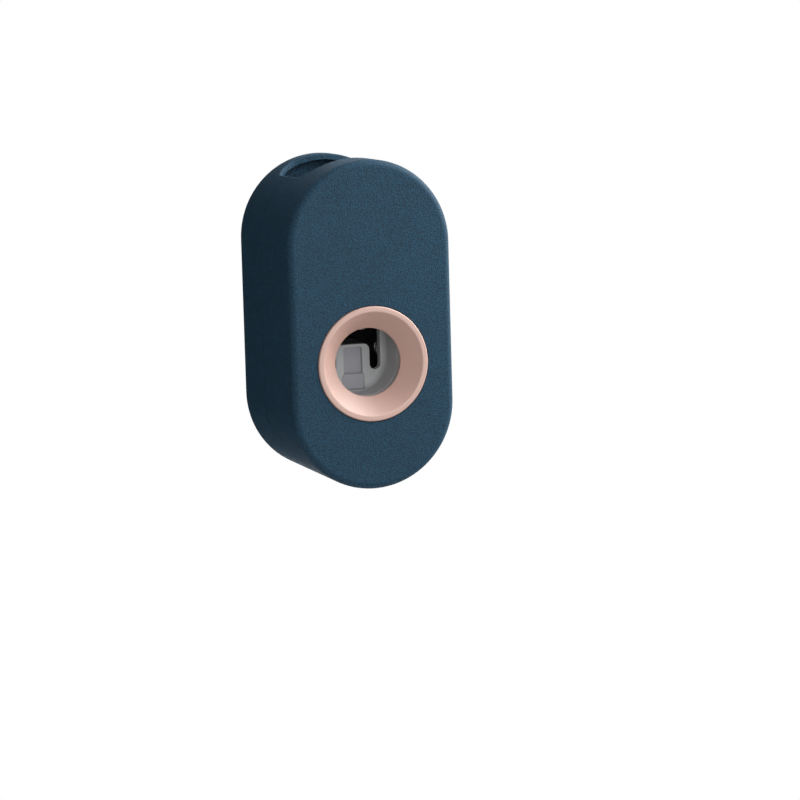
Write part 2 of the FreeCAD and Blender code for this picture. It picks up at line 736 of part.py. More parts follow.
# Pusher: trough, back plate with tongue and horns, rod ears, bellows stud
def make_pusher():
    body = body_named("pusher")
    top = f"{MOUTH} + horn_height"
    outline = front_sketch(body, "outline", PUSH_BACK)
    trough(outline, TROUGH_OUTER, top)
    pad(outline, "block", f"{TROUGH_FRONT} - {PUSH_BACK}")
    hollow = front_sketch(body, "hollow", PUSH_FRONT)
    trough(hollow, "trough_radius", f"{top} + trough_wall")
    hollow_cut = pocket(hollow, "hollow_cut", f"{TROUGH_FRONT} - {PUSH_FRONT}")
    reach = size("trough_radius")
    floor = at_depth(PUSH_FRONT)

    def corner(edge):
        middle = edge.valueAt((edge.FirstParameter + edge.LastParameter) / 2)
        return floor(edge) and abs(middle.x) < reach + 1e-3 and middle.z < size(top) - 1e-3

    fillet(hollow_cut, "inner_corner", "trough_fillet", corner)
    over = front_sketch(body, "over_tongue", PUSH_BACK)
    rectangle(over, "-horn_side", "horn_side", TONGUE_TOP, f"{top} + trough_wall")
    pocket(over, "over_tongue_cut", "push_wall + trough_fillet")
    gaps = front_sketch(body, "gaps", PUSH_BACK)
    low = f"{MOUTH} - gap_bottom + gap_width / 2"
    for side in (GAP_SIDE, f"-{GAP_SIDE}"):
        belt(gaps, [(side, low), (side, TONGUE_TOP)], "gap_width / 2")
    gap_cut = pocket(gaps, "gap_cut", "push_wall + trough_fillet")
    tongue_side = size(f"{GAP_SIDE} - gap_width / 2")

    def tongue_corner(edge):
        middle = edge.valueAt((edge.FirstParameter + edge.LastParameter) / 2)
        deep = edge.BoundBox.YMax - edge.BoundBox.YMin > size("push_wall") / 2
        beside = abs(abs(middle.x) - tongue_side) < 1e-3
        return deep and beside and abs(middle.z - size(TONGUE_TOP)) < 1e-3

    fillet(gap_cut, "tongue_corners", "tongue_corner", tongue_corner)
    recess = front_sketch(body, "recess", PAD_BACK)
    panel_outline(recess, "pad_gap")
    pocket(recess, "pad_recess", f"{PUSH_FRONT} - {PAD_BACK} + trough_fillet")
    foot_recess = front_sketch(body, "foot_recess", PAD_BACK)
    foot_outline(foot_recess, "pad_gap")
    pocket(foot_recess, "foot_recess_cut", f"{PUSH_FRONT} - {PAD_BACK} + trough_fillet")
    ears = front_sketch(body, "ears", EAR_BACK)
    belt(ears, [("ear_root", MOUTH), ("rod_side", MOUTH)], "ear_radius")
    belt(ears, [("-rod_side", MOUTH), ("-ear_root", MOUTH)], "ear_radius")
    pad(ears, "rod_ears", "ear_length")
    bores = circles(front_sketch(body, "bores", EAR_BACK), rod_places(), "rod_radius + rod_gap")
    pocket(bores, "rod_bores", "ear_length")
    stud = front_sketch(body, "stud", f"{PUSH_BACK} - stud_length")
    circle(stud, "0", MOUTH, "stud_radius")
    pad(stud, "bellows_stud", "stud_length")
    return body


def panel_outline(drawing, margin):
    """The pad's thin panel on the tongue."""
    side = f"(pad_width / 2 + {margin})"
    bottom = f"({MOUTH} - pad_bottom - {margin})"
    top = f"({TONGUE_TOP} - pad_corner + {margin})"
    rounded_rectangle(drawing, f"-{side}", side, bottom, top, f"(pad_corner + {margin})")


def foot_outline(drawing, margin):
    """The pad's foot below its seam, level with the plate."""
    side = f"(pad_foot_width / 2 + {margin})"
    bottom = f"({MOUTH} - pad_bottom - {margin})"
    top = f"({MOUTH} - pad_seam + {margin})"
    rounded_rectangle(drawing, f"-{side}", side, bottom, top, f"(pad_corner + {margin})")


# Push pad let into the pusher's tongue: a sunk panel, a seam and a level foot
def make_push_pad():
    body = body_named("push_pad")
    panel = front_sketch(body, "panel", PAD_BACK)
    panel_outline(panel, "0")
    pad(panel, "panel_block", "pad_inlay")
    foot = front_sketch(body, "foot", PAD_BACK)
    foot_outline(foot, "0")
    foot_block = pad(foot, "foot_block", f"{PUSH_FRONT} - {PAD_BACK}")
    fillet(foot_block, "foot_edge", "pad_edge", at_depth(PUSH_FRONT))
    seam = front_sketch(body, "seam", f"{PAD_FACE} - pad_seam_depth")
    low = f"{MOUTH} - pad_seam"
    rectangle(seam, "-pad_width", "pad_width", low, f"{low} + pad_seam_width")
    pocket(seam, "seam_groove", "pad_seam_depth")
    return body


# Pump body: back plate with arms, paste gallery and tube socket
def make_pump_body():
    body = body_named("pump_body")
    plate = front_sketch(body, "plate", PUMP_BACK)
    rounded_rectangle(plate, "-pump_side", "pump_side", "-pump_foot", COVER_TOP, "pump_corner")
    pad(plate, "back_plate", "pump_wall")
    for name, height in (("rod_arms", MOUTH), ("mount_arms", "mount_upper")):
        arms = front_sketch(body, name, PUMP_BACK)
        belt(arms, [("-(arm_side - arm_half)", height), ("arm_side - arm_half", height)], "arm_half")
        pad(arms, f"{name}_pad", "pump_wall")
    gallery = front_sketch(body, "gallery", PUMP_BACK)
    rectangle(gallery, "-gallery_side", "gallery_side", GALLERY_BOTTOM, GALLERY_TOP)
    gallery_block = pad(gallery, "gallery_block", f"{GALLERY_FRONT} - {PUMP_BACK}")
    at_front = at_depth(GALLERY_FRONT)
    fillet(gallery_block, "gallery_corners", "gallery_round", lambda edge: at_front(edge) and upright(edge))
    socket = level_sketch(body, "socket", f"{GALLERY_TOP} - socket_floor")
    circle(socket, "0", f"-{SOCKET_PLACE}", "socket_radius")
    pad(socket, "socket_block", f"{SOCKET_TOP} - {GALLERY_TOP} + socket_floor")
    register = front_sketch(body, "register", PUMP_FACE)
    circle(register, "0", MOUTH, "bellows_root - bellows_wall - bellows_gap")
    pad(register, "register_boss", "register_height")
    bore = level_sketch(body, "bore", SOCKET_FLOOR)
    circle(bore, "0", f"-{SOCKET_PLACE}", "socket_bore")
    pocket(bore, "socket_bore", "socket_depth")
    seat = level_sketch(body, "valve_seat", f"{SOCKET_FLOOR} - valve_flange_height")
    circle(seat, "0", f"-{SOCKET_PLACE}", "valve_flange + valve_gap")
    pocket(seat, "inlet_seat", "valve_flange_height")
    inlet = level_sketch(body, "inlet", DUCT)
    circle(inlet, "0", f"-{SOCKET_PLACE}", "port_radius")
    pocket(inlet, "inlet_port", f"{SOCKET_FLOOR} - {DUCT}")
    duct = front_sketch(body, "duct", PUMP_BACK)
    circle(duct, "0", DUCT, "duct_radius")
    pocket(duct, "duct_bore", f"{OUTLET_PLACE} - {PUMP_BACK}")
    channel = front_sketch(body, "channel", PUMP_BACK)
    belt(channel, [("0", MOUTH), ("0", DUCT)], "channel_radius")
    pocket(channel, "channel_cut", "channel_depth")
    port = front_sketch(body, "port", PUMP_BACK)
    circle(port, "0", MOUTH, "duct_radius")
    pocket(port, "bellows_port", "pump_wall + register_height")
    outlet = level_sketch(body, "outlet", GALLERY_BOTTOM)
    circle(outlet, "0", f"-{OUTLET_PLACE}", "port_radius")
    pocket(outlet, "outlet_port", f"{DUCT} - {GALLERY_BOTTOM}")
    recess = level_sketch(body, "nozzle_recess", GALLERY_BOTTOM)
    circle(recess, "0", f"-{OUTLET_PLACE}", "nozzle_radius")
    pocket(recess, "nozzle_seat", "nozzle_seat")
    flange = level_sketch(body, "outlet_flange", NOZZLE_TOP)
    circle(flange, "0", f"-{OUTLET_PLACE}", "valve_flange + valve_gap")
    pocket(flange, "outlet_seat", "valve_flange_height")
    stops = circles(front_sketch(body, "stops", PUMP_FACE), rod_places(), "stop_radius")
    pad(stops, "rod_stops", "stop_height")
    rods = front_sketch(body, "rods", f"{PUMP_FACE} - rod_socket")
    circles(rods, rod_places(), "rod_radius")
    pocket(rods, "rod_sockets", "stop_height + rod_socket")
    screws = front_sketch(body, "mounts", PUMP_BACK)
    circles(screws, mount_places(), "mount_screw_radius + screw_gap")
    pocket(screws, "mount_holes", "pump_wall")
    heads = front_sketch(body, "heads", MOUNT_SEAT)
    circles(heads, mount_places(), "mount_head_radius + head_gap")
    pocket(heads, "mount_wells", "pump_wall - mount_web")
    covers = front_sketch(body, "covers", PUMP_BACK)
    circles(covers, cover_screw_places(), "small_screw_radius + pilot_gap")
    pocket(covers, "cover_pilots", "small_screw_length")
    depth = "small_screw_length - clamp_height - bellows_flange_height + pilot_extra"
    clamps = front_sketch(body, "clamps", f"{PUMP_FACE} - ({depth})")
    pocket(circles(clamps, clamp_screw_places(), "small_screw_radius + pilot_gap"), "clamp_pilots", depth)
    return body


def cover_outline(drawing):
    rounded_rectangle(drawing, "-cover_side", "cover_side", COVER_BOTTOM, COVER_TOP, "cover_corner")


# Gasket under the duct cover
def make_duct_gasket():
    body = body_named("duct_gasket")
    outline = front_sketch(body, "outline", GASKET_BACK)
    cover_outline(outline)
    belt(outline, [("0", MOUTH), ("0", DUCT)], "channel_radius")
    circles(outline, cover_screw_places(), "small_screw_radius + screw_gap")
    pad(outline, "sheet", "gasket_thickness")
    return body


# Duct cover
def make_duct_cover():
    body = body_named("duct_cover")
    outline = front_sketch(body, "outline", COVER_BACK)
    cover_outline(outline)
    circles(outline, cover_screw_places(), "small_screw_radius + screw_gap")
    pad(outline, "plate", "cover_thickness")
    wells = front_sketch(body, "wells", COVER_BACK)
    circles(wells, cover_screw_places(), "small_head_radius + screw_gap")
    pocket(wells, "head_wells", "small_head_height")
    return body


# Pump screws: four in the duct cover from behind, four in the bellows clamp from the front
def make_pump_screws():
    body = body_named("pump_screws")
    cover_seat = f"{COVER_BACK} + small_head_height"
    cover_heads = front_sketch(body, "cover_heads", COVER_BACK)
    circles(cover_heads, cover_screw_places(), "small_head_radius")
    pad(cover_heads, "cover_head", "small_head_height")
    cover_shanks = front_sketch(body, "cover_shanks", cover_seat)
    circles(cover_shanks, cover_screw_places(), "small_screw_radius")
    pad(cover_shanks, "cover_shank", "small_screw_length")
    clamp_shanks = front_sketch(body, "clamp_shanks", f"{CLAMP_FRONT} - small_screw_length")
    circles(clamp_shanks, clamp_screw_places(), "small_screw_radius")
    pad(clamp_shanks, "clamp_shank", "small_screw_length")
    clamp_heads = front_sketch(body, "clamp_heads", CLAMP_FRONT)
    circles(clamp_heads, clamp_screw_places(), "small_head_radius")
    pad(clamp_heads, "clamp_head", "small_head_height")
    return body


# Screws that hold the pump body on the rear shell
def make_mount_screws():
    body = body_named("mount_screws")
    shanks = front_sketch(body, "shanks", f"{MOUNT_SEAT} - mount_screw_length")
    pad(circles(shanks, mount_places(), "mount_screw_radius"), "screw_shanks", "mount_screw_length")
    heads = front_sketch(body, "heads", MOUNT_SEAT)
    pad(circles(heads, mount_places(), "mount_head_radius"), "screw_heads", "mount_head_height")
    return body


# Bellows: flange at the pump body, folds, cap with a socket for the pusher's stud
def make_bellows():
    body = body_named("bellows")
    first = CLAMP_BACK
    last = f"{PUSH_BACK} - bellows_cap"
    fold = f"({last} - {first}) / {BELLOWS_FOLDS}"
    outer = []
    inner = []
    for index in range(BELLOWS_FOLDS):
        root = f"{first} + {fold} * {index}"
        crest = f"{first} + {fold} * {index + 0.5}"
        outer.append(("bellows_root", root))
        outer.append(("bellows_radius", crest))
        inner.append(("bellows_root - bellows_wall", root))
        inner.append(("bellows_radius - bellows_wall", crest))
    hole = f"{PUSH_BACK} - stud_length - bellows_gap"
    profile = [
        ("bellows_root - bellows_wall", PUMP_FACE),
        ("bellows_flange", PUMP_FACE),
        ("bellows_flange", first),
    ]
    profile += outer
    profile += [
        ("bellows_root", last),
        ("bellows_root", PUSH_BACK),
        ("stud_radius + bellows_gap", PUSH_BACK),
        ("stud_radius + bellows_gap", hole),
        ("0", hole),
        ("0", f"{hole} - bellows_wall"),
        ("bellows_boss", f"{hole} - bellows_wall"),
        ("bellows_boss", last),
        ("bellows_root - bellows_wall", last),
    ]
    profile += inner[::-1]
    turned_on_mouth(body, "skin", profile)
    return body


# Clamp that holds the bellows' flange on the pump body
def make_bellows_clamp():
    body = body_named("bellows_clamp")
    ring = front_sketch(body, "ring", CLAMP_BACK)
    circle(ring, "0", MOUTH, "clamp_radius")
    pad(ring, "disc", "clamp_height")
    ears = front_sketch(body, "ears", CLAMP_BACK)
    for root, tip in zip(clamp_places("(clamp_inner + clamp_radius) / 2"), clamp_screw_places()):
        belt(ears, [root, tip], "clamp_ear")
    pad(ears, "screw_ears", "clamp_height")
    feet = circles(front_sketch(body, "feet", PUMP_FACE), clamp_screw_places(), "clamp_ear")
    pad(feet, "ear_feet", "bellows_flange_height")
    bore = front_sketch(body, "bore", CLAMP_BACK)
    circle(bore, "0", MOUTH, "clamp_inner")
    pocket(bore, "bellows_bore", "clamp_height")
    holes = front_sketch(body, "holes", PUMP_FACE)
    circles(holes, clamp_screw_places(), "small_screw_radius + screw_gap")
    pocket(holes, "screw_holes", "bellows_flange_height + clamp_height")
    return body


# Guide rods
def make_guide_rods():
    body = body_named("guide_rods")
    back = f"{PUMP_FACE} - rod_socket"
    rods = circles(front_sketch(body, "rods", back), rod_places(), "rod_radius")
    pad(rods, "rod_bars", f"{ROD_FRONT} - ({back})")
    grooves = front_sketch(body, "grooves", f"{CLIP_BACK} - groove_gap")
    circles(grooves, rod_places(), "rod_radius + groove_depth")
    circles(grooves, rod_places(), "rod_radius - groove_depth")
    pocket(grooves, "clip_grooves", "clip_thickness + 2 * groove_gap")
    return body


# Clips on the rods, open at the bottom
def make_rod_clips():
    body = body_named("rod_clips")
    rings = front_sketch(body, "rings", CLIP_BACK)
    circles(rings, rod_places(), "clip_radius")
    circles(rings, rod_places(), "rod_radius - groove_depth + groove_gap")
    pad(rings, "clip_rings", "clip_thickness")
    mouths = front_sketch(body, "mouths", CLIP_BACK)
    half = "rod_radius - groove_depth"
    for side in ("rod_side", "-rod_side"):
        rectangle(mouths, f"{side} - ({half})", f"{side} + {half}", f"{MOUTH} - 2 * clip_radius", MOUTH)
    pocket(mouths, "clip_mouths", "clip_thickness")
    return body


# Silicone seal for the tube's neck
def make_neck_seal():
    body = body_named("neck_seal")
    bottom = f"{SOCKET_FLOOR} + neck_step"
    profile = [
        ("seal_outlet", SOCKET_FLOOR),
        ("socket_bore - seal_gap", SOCKET_FLOOR),
        ("socket_bore - seal_gap", SEAL_TOP),
        ("seal_mouth", SEAL_TOP),
        ("neck_radius", f"{bottom} + neck_length"),
        ("neck_radius", bottom),
        ("seal_outlet", bottom),
    ]
    turned_upright(body, "bush", SOCKET_PLACE, profile)
    return body


# Collar pressed into the socket above the seal
def make_seal_collar():
    body = body_named("seal_collar")
    top = f"{SOCKET_TOP} + collar_flange"
    profile = [
        ("collar_bore", SEAL_TOP),
        ("socket_bore - seal_gap", SEAL_TOP),
        ("socket_bore - seal_gap", SOCKET_TOP),
        ("socket_radius", SOCKET_TOP),
        ("socket_radius", top),
        ("collar_bore + collar_bevel", top),
        ("collar_bore", f"{top} - collar_bevel"),
    ]
    turned_upright(body, "collar", SOCKET_PLACE, profile)
    return body


def make_duckbill(name, place, seat):
    """A duckbill valve: flange up to a seat height, neck, and a bill that narrows to a lip."""
    body = body_named(name)
    shoulder = f"{seat} - valve_flange_height"
    neck = f"{shoulder} - valve_neck"
    lip = f"{neck} - valve_bill"
    profile = [
        ("0", neck),
        ("valve_radius", neck),
        ("valve_radius", shoulder),
        ("valve_flange", shoulder),
        ("valve_flange", seat),
        ("0", seat),
    ]
    turned_upright(body, "flange", place, profile)
    top = level_sketch(body, "bill_top", neck)
    circle(top, "0", f"-{place}", "valve_radius")
    end = level_sketch(body, "bill_end", lip)
    half = "valve_lip / 2"
    rectangle(end, "-valve_radius", "valve_radius", f"-{place} - {half}", f"-{place} + {half}")
    bill = body.newObject("PartDesign::AdditiveLoft", f"{name}_bill")
    bill.Profile = top
    bill.Sections = [end]
    document.recompute()
    bore = level_sketch(body, "bore", neck)
    circle(bore, "0", f"-{place}", "valve_bore")
    pocket(bore, "bore_cut", "valve_neck + valve_flange_height")
    slit = level_sketch(body, "slit", lip)
    gap = "valve_slit / 2"
    rectangle(slit, "-valve_bore", "valve_bore", f"-{place} - {gap}", f"-{place} + {gap}")
    pocket(slit, "slit_cut", "valve_bill")
    return body


# Nozzle that holds the outlet valve up in the gallery
def make_nozzle():
    body = body_named("nozzle")
    tip = f"{GALLERY_BOTTOM} - nozzle_tip_length"
    profile = [
        ("port_radius", tip),
        ("nozzle_tip_radius - nozzle_taper", tip),
        ("nozzle_tip_radius", GALLERY_BOTTOM),
        ("nozzle_radius - nozzle_gap", GALLERY_BOTTOM),
        ("nozzle_radius - nozzle_gap", NOZZLE_TOP),
        ("port_radius", NOZZLE_TOP),
    ]
    turned_upright(body, "ring", OUTLET_PLACE, profile)
    return body


def coil_height(turns, rise_end, rise_middle):
    """The height of a coil after some turns: close turns at both ends, open turns between."""
    first = min(turns, COIL_END_TURNS)
    last = max(0.0, turns - (COIL_TURNS - COIL_END_TURNS))
    return rise_end * (first + last) + rise_middle * (turns - first - last)


def coil_points(length, per_turn):
    """Points on a coil about Z with their directions, from height zero to the length."""
    wire = size("wire_radius")
    radius = size("coil_radius")
    rise_end = 2 * wire + size("coil_end_gap")
    open_turns = COIL_TURNS - 2 * COIL_END_TURNS
    rise_middle = (length - 2 * wire - 2 * COIL_END_TURNS * rise_end) / open_turns
    points = []
    count = int(round(COIL_TURNS * per_turn))
    for index in range(count + 1):
        turns = index / per_turn
        angle = 2 * math.pi * turns
        step = 0.5 / per_turn
        ahead = coil_height(min(turns + step, COIL_TURNS), rise_end, rise_middle)
        behind = coil_height(max(turns - step, 0.0), rise_end, rise_middle)
        span = min(turns + step, COIL_TURNS) - max(turns - step, 0.0)
        climb = (ahead - behind) / span
        height = wire + coil_height(turns, rise_end, rise_middle)
        spot = FreeCAD.Vector(radius * math.cos(angle), radius * math.sin(angle), height)
        around = 2 * math.pi * radius
        direction = FreeCAD.Vector(-around * math.sin(angle), around * math.cos(angle), climb)
        points.append((spot, direction.normalize()))
    return points


def arc_between(start, apex, finish):
    """The arc that leaves a start towards an apex and reaches a finish from it."""
    middle = (start + finish) * 0.5
    half = (finish - start).Length / 2
    rise = (apex - middle).Length
    lift = half * math.tan(math.atan2(rise, half) / 2)
    return Part.Arc(start, middle + (apex - middle).normalize() * lift, finish).toShape()


def biarc(start, leave, finish, arrive):
    """Two arcs that join smoothly between two points with given directions."""
    across = finish - start
    both = leave + arrive
    spread = 2 * (1 - leave.dot(arrive))
    along = across.dot(both)
    reach = (math.sqrt(along * along + spread * across.dot(across)) - along) / spread
    first = start + leave * reach
    second = finish - arrive * reach
    joint = (first + second) * 0.5
    return [arc_between(start, first, joint), arc_between(joint, second, finish)]


def coil_gap(length):
    """The least gap between neighbouring turns, measured on points."""
    per_turn = 24
    spots = [spot for spot, direction in coil_points(length, per_turn)]
    least = None
    for index, spot in enumerate(spots):
        for other in spots[index + per_turn // 2:]:
            gap = (spot - other).Length - 2 * size("wire_radius")
            if least is None or gap < least:
                least = gap
    return least


# Return spring round a guide rod
def make_return_spring(name, side):
    back = size(f"{PUMP_FACE} + spring_gap")
    length = size(f"{EAR_BACK} - spring_gap") - back
    points = coil_points(length, 4)
    edges = []
    for (start, leave), (finish, arrive) in zip(points, points[1:]):
        edges += biarc(start, leave, finish, arrive)
    path = Part.Wire(edges)
    spot, direction = points[0]
    profile = Part.Wire([Part.Circle(spot, direction, size("wire_radius")).toShape()])
    pipe = Part.BRepOffsetAPI.MakePipeShell(path)
    pipe.add(profile)
    pipe.build()
    pipe.makeSolid()
    spring = document.addObject("Part::Feature", name)
    spring.Label = name
    spring.Shape = pipe.shape()
    turn_to_front = FreeCAD.Rotation(FreeCAD.Vector(1, 0, 0), 90)
    spring.Placement = FreeCAD.Placement(FreeCAD.Vector(0, -back, 0), turn_to_front)
    spring.setExpression("Placement.Base.x", bound(side))
    spring.setExpression("Placement.Base.z", bound(MOUTH))
    print(f"{name}: least gap between turns {coil_gap(length):.2f} mm")
    return spring


pieces = [
    make_adhesive_pad(),
    make_wall_plate(),
    make_rear_shell(),
    make_front_shell(),
    make_trim_ring(),
    make_case_screws(),
    make_pump_body(),
    make_mount_screws(),
    make_duct_gasket(),
    make_duct_cover(),
    make_pump_screws(),
    make_bellows(),
    make_bellows_clamp(),
    make_guide_rods(),
    make_rod_clips(),
    make_return_spring("return_spring_right", "rod_side"),
    make_return_spring("return_spring_left", "-rod_side"),
    make_neck_seal(),
    make_seal_collar(),
    make_duckbill("inlet_valve", SOCKET_PLACE, SOCKET_FLOOR),
    make_duckbill("outlet_valve", OUTLET_PLACE, f"({NOZZLE_TOP} + valve_flange_height)"),
    make_nozzle(),
    make_pusher(),
    make_push_pad(),
]
document.recompute()
for item in document.Objects:
    if "Invalid" in item.State or "Error" in item.State:
        raise RuntimeError(f"{item.Label} has not been made: {item.State}")
os.makedirs("parts", exist_ok=True)
for piece in pieces:
    if piece.Shape.isNull() or not piece.Shape.isValid():
        raise RuntimeError(f"{piece.Label} has no valid shape")
    piece.Shape.exportStep(f"parts/{piece.Label}.step")
    print(f"{piece.Label}: {len(piece.Shape.Solids)} solids, {piece.Shape.Volume:.1f} mm3")
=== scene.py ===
import math

import bmesh
import bpy
from bpy.props import FloatProperty, FloatVectorProperty, IntProperty, PointerProperty
from mathutils import Matrix, Vector


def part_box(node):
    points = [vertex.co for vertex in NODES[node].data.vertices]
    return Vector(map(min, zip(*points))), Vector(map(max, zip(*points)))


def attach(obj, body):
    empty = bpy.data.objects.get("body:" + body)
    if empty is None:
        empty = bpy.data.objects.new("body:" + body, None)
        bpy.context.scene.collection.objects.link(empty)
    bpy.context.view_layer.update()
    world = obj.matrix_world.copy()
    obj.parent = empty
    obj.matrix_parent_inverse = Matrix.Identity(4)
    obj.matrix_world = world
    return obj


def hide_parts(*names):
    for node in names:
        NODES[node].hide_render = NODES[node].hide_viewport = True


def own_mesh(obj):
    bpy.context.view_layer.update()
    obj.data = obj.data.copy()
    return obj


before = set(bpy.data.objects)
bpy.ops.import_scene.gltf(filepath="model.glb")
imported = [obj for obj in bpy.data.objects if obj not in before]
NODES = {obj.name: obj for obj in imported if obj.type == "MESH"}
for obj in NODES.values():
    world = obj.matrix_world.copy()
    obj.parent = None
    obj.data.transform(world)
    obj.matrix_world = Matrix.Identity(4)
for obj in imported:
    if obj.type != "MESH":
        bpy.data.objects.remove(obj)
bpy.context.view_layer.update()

bl_info = {
    "name": "Wall toothpaste dispenser",
    "version": (1, 0, 0),
    "blender": (4, 5, 0),
    "location": "View3D > Sidebar > Dispenser",
    "description": "Dresses a wall toothpaste dispenser and sets its stage",
    "category": "Object",
}

MERGE_DISTANCE = 1e-6
# Edges that stay sharp, flats that are joined and edges that are rounded over, by the angle between faces
SHARP_EDGE = math.radians(40.0)
FLAT_EDGE = math.radians(0.5)
ROUNDED_EDGE = math.radians(35.0)
# Floor's radius, and where it starts and ends fading out
FLOOR_RADIUS = 0.5
FLOOR_FADE = (0.25, 0.49)
# Each lamp's turn to the right of the front and tilt upwards in degrees, distance and width in metres
RIG = {
    "key": (70.0, 38.0, 0.33, 0.2),
    "front": (25.0, 16.0, 1.1, 0.9),
    "fill": (-18.0, 8.0, 1.1, 0.6),
    "side": (90.0, 15.0, 1.1, 0.9),
    "top": (105.0, 62.0, 1.1, 0.6),
    "rim": (128.0, 25.0, 1.1, 0.5),
    "back": (160.0, -12.0, 1.1, 0.6),
}
# The dark card's turn, tilt, distance and width, in the same units
FLAG = (-150.0, 0.0, 0.35, 0.6)


# Properties
def colour_property(name, description, default):
    return FloatVectorProperty(
        name=name, description=description, default=default, size=3, min=0.0, max=1.0, subtype="COLOR"
    )


def length_property(name, description, default):
    return FloatProperty(
        name=name, description=description, default=default, min=0.0, precision=5, subtype="DISTANCE",
        unit="LENGTH",
    )


def angle_property(name, description, degrees):
    return FloatProperty(
        name=name, description=description, default=math.radians(degrees), subtype="ANGLE", unit="ROTATION"
    )


def share_property(name, description, default):
    return FloatProperty(
        name=name, description=description, default=default, min=0.0, max=1.0, subtype="FACTOR"
    )


def count_property(name, description, default, least):
    return IntProperty(name=name, description=description, default=default, min=least)


def power_property(name, description, default):
    return FloatProperty(name=name, description=description, default=default, min=0.0, unit="POWER")


class DispenserFinish(bpy.types.PropertyGroup):
    """Colours of the dispenser's finishes"""

    casing: colour_property("Casing", "Matt plastic of the two shells", (0.0145, 0.051, 0.088))
    trim: colour_property("Trim ring", "Satin paint of the ring round the mouth", (0.6, 0.375, 0.31))
    pusher: colour_property("Pusher", "Grey plastic of the trough behind the mouth", (0.56, 0.575, 0.58))
    pad: colour_property("Push pad", "Grey of the pad that the brush pushes", (0.43, 0.43, 0.465))
    inside: colour_property("Inside", "Black plastic of the pump and the wall plate", (0.012, 0.013, 0.014))
    silicone: colour_property("Silicone", "Seals and valves", (0.55, 0.57, 0.58))
    # Bellows: the rubber's own black, made darker still as painted shade inside the brush mouth
    bellows: colour_property("Bellows", "Black rubber of the pumping bellows", (0.004, 0.004, 0.0045))
    steel: colour_property("Steel", "Case screws, rods, clips and springs", (0.60, 0.60, 0.61))
    dark_steel: colour_property("Dark steel", "Blackened screws of the pump", (0.02, 0.02, 0.021))
    tape: colour_property("Foam tape", "Adhesive foam between plate and wall", (0.75, 0.76, 0.76))


class DispenserSizes(bpy.types.PropertyGroup):
    """Sizes of the pieces that are wound, turned or rounded over"""

    wire_radius: length_property("Spring wire", "Radius of the return springs' wire", 0.00035)
    coil_turns: FloatProperty(
        name="Spring turns", description="Turns of each return spring", default=6.5, min=2.5
    )
    turn_steps: count_property("Turn steps", "Steps in one turn of a spring", 32, 8)
    wire_sides: count_property("Wire sides", "Facets round the springs' wire", 12, 3)
    bellows_folds: count_property("Bellows folds", "Folds of the bellows", 3, 1)
    bellows_skin: length_property("Bellows skin", "Wall of the bellows", 0.0012)
    bellows_crest: share_property("Bellows crest", "Radius of the folds, as a share of the flange", 0.836)
    bellows_sides: count_property("Bellows sides", "Facets round the bellows", 64, 3)
    soft_edge: length_property("Soft edge", "Rounding of silicone and foam edges", 0.0003)
    screw_sides: count_property("Screw sides", "Facets round a screw", 32, 3)
    recess_width: share_property("Recess width", "Screw recess across, as a share of the head", 0.58)
    recess_depth: share_property("Recess depth", "Screw recess deep, as a share of the head", 0.6)


class DispenserStage(bpy.types.PropertyGroup):
    """Camera, floor and lights"""

    azimuth: angle_property("Azimuth", "Camera's turn round the dispenser", -18.7)
    elevation: angle_property("Elevation", "Camera's height above the dispenser", 6.37)
    roll: angle_property("Roll", "Camera's tilt about its own axis", -1.74)
    distance: length_property("Distance", "Camera to the middle of the casing", 1.1)
    lens: FloatProperty(name="Lens", description="Focal length in millimetres", default=133.5, min=1.0)
    shift_x: FloatProperty(name="Shift across", description="Framing across, in widths", default=0.0676)
    shift_y: FloatProperty(name="Shift up", description="Framing up, in widths", default=-0.1029)
    floor_height: length_property("Floor", "Floor below the middle of the casing", 0.45)
    key: power_property("Key", "Near softbox at the upper right", 1.1)
    front: power_property("Front", "Wide light from the right of the front", 4.2)
    fill: power_property("Fill", "Wide light from beside the camera", 2.4)
    side: power_property("Side", "Light from the right", 9.5)
    top: power_property("Top", "Light from above on the right", 2.0)
    rim: power_property("Rim", "Light from behind on the right", 2.0)
    back: power_property("Back", "Wide light on the back", 7.0)
    ambient: FloatProperty(name="Ambient", description="Light from all round", default=0.14, min=0.0)


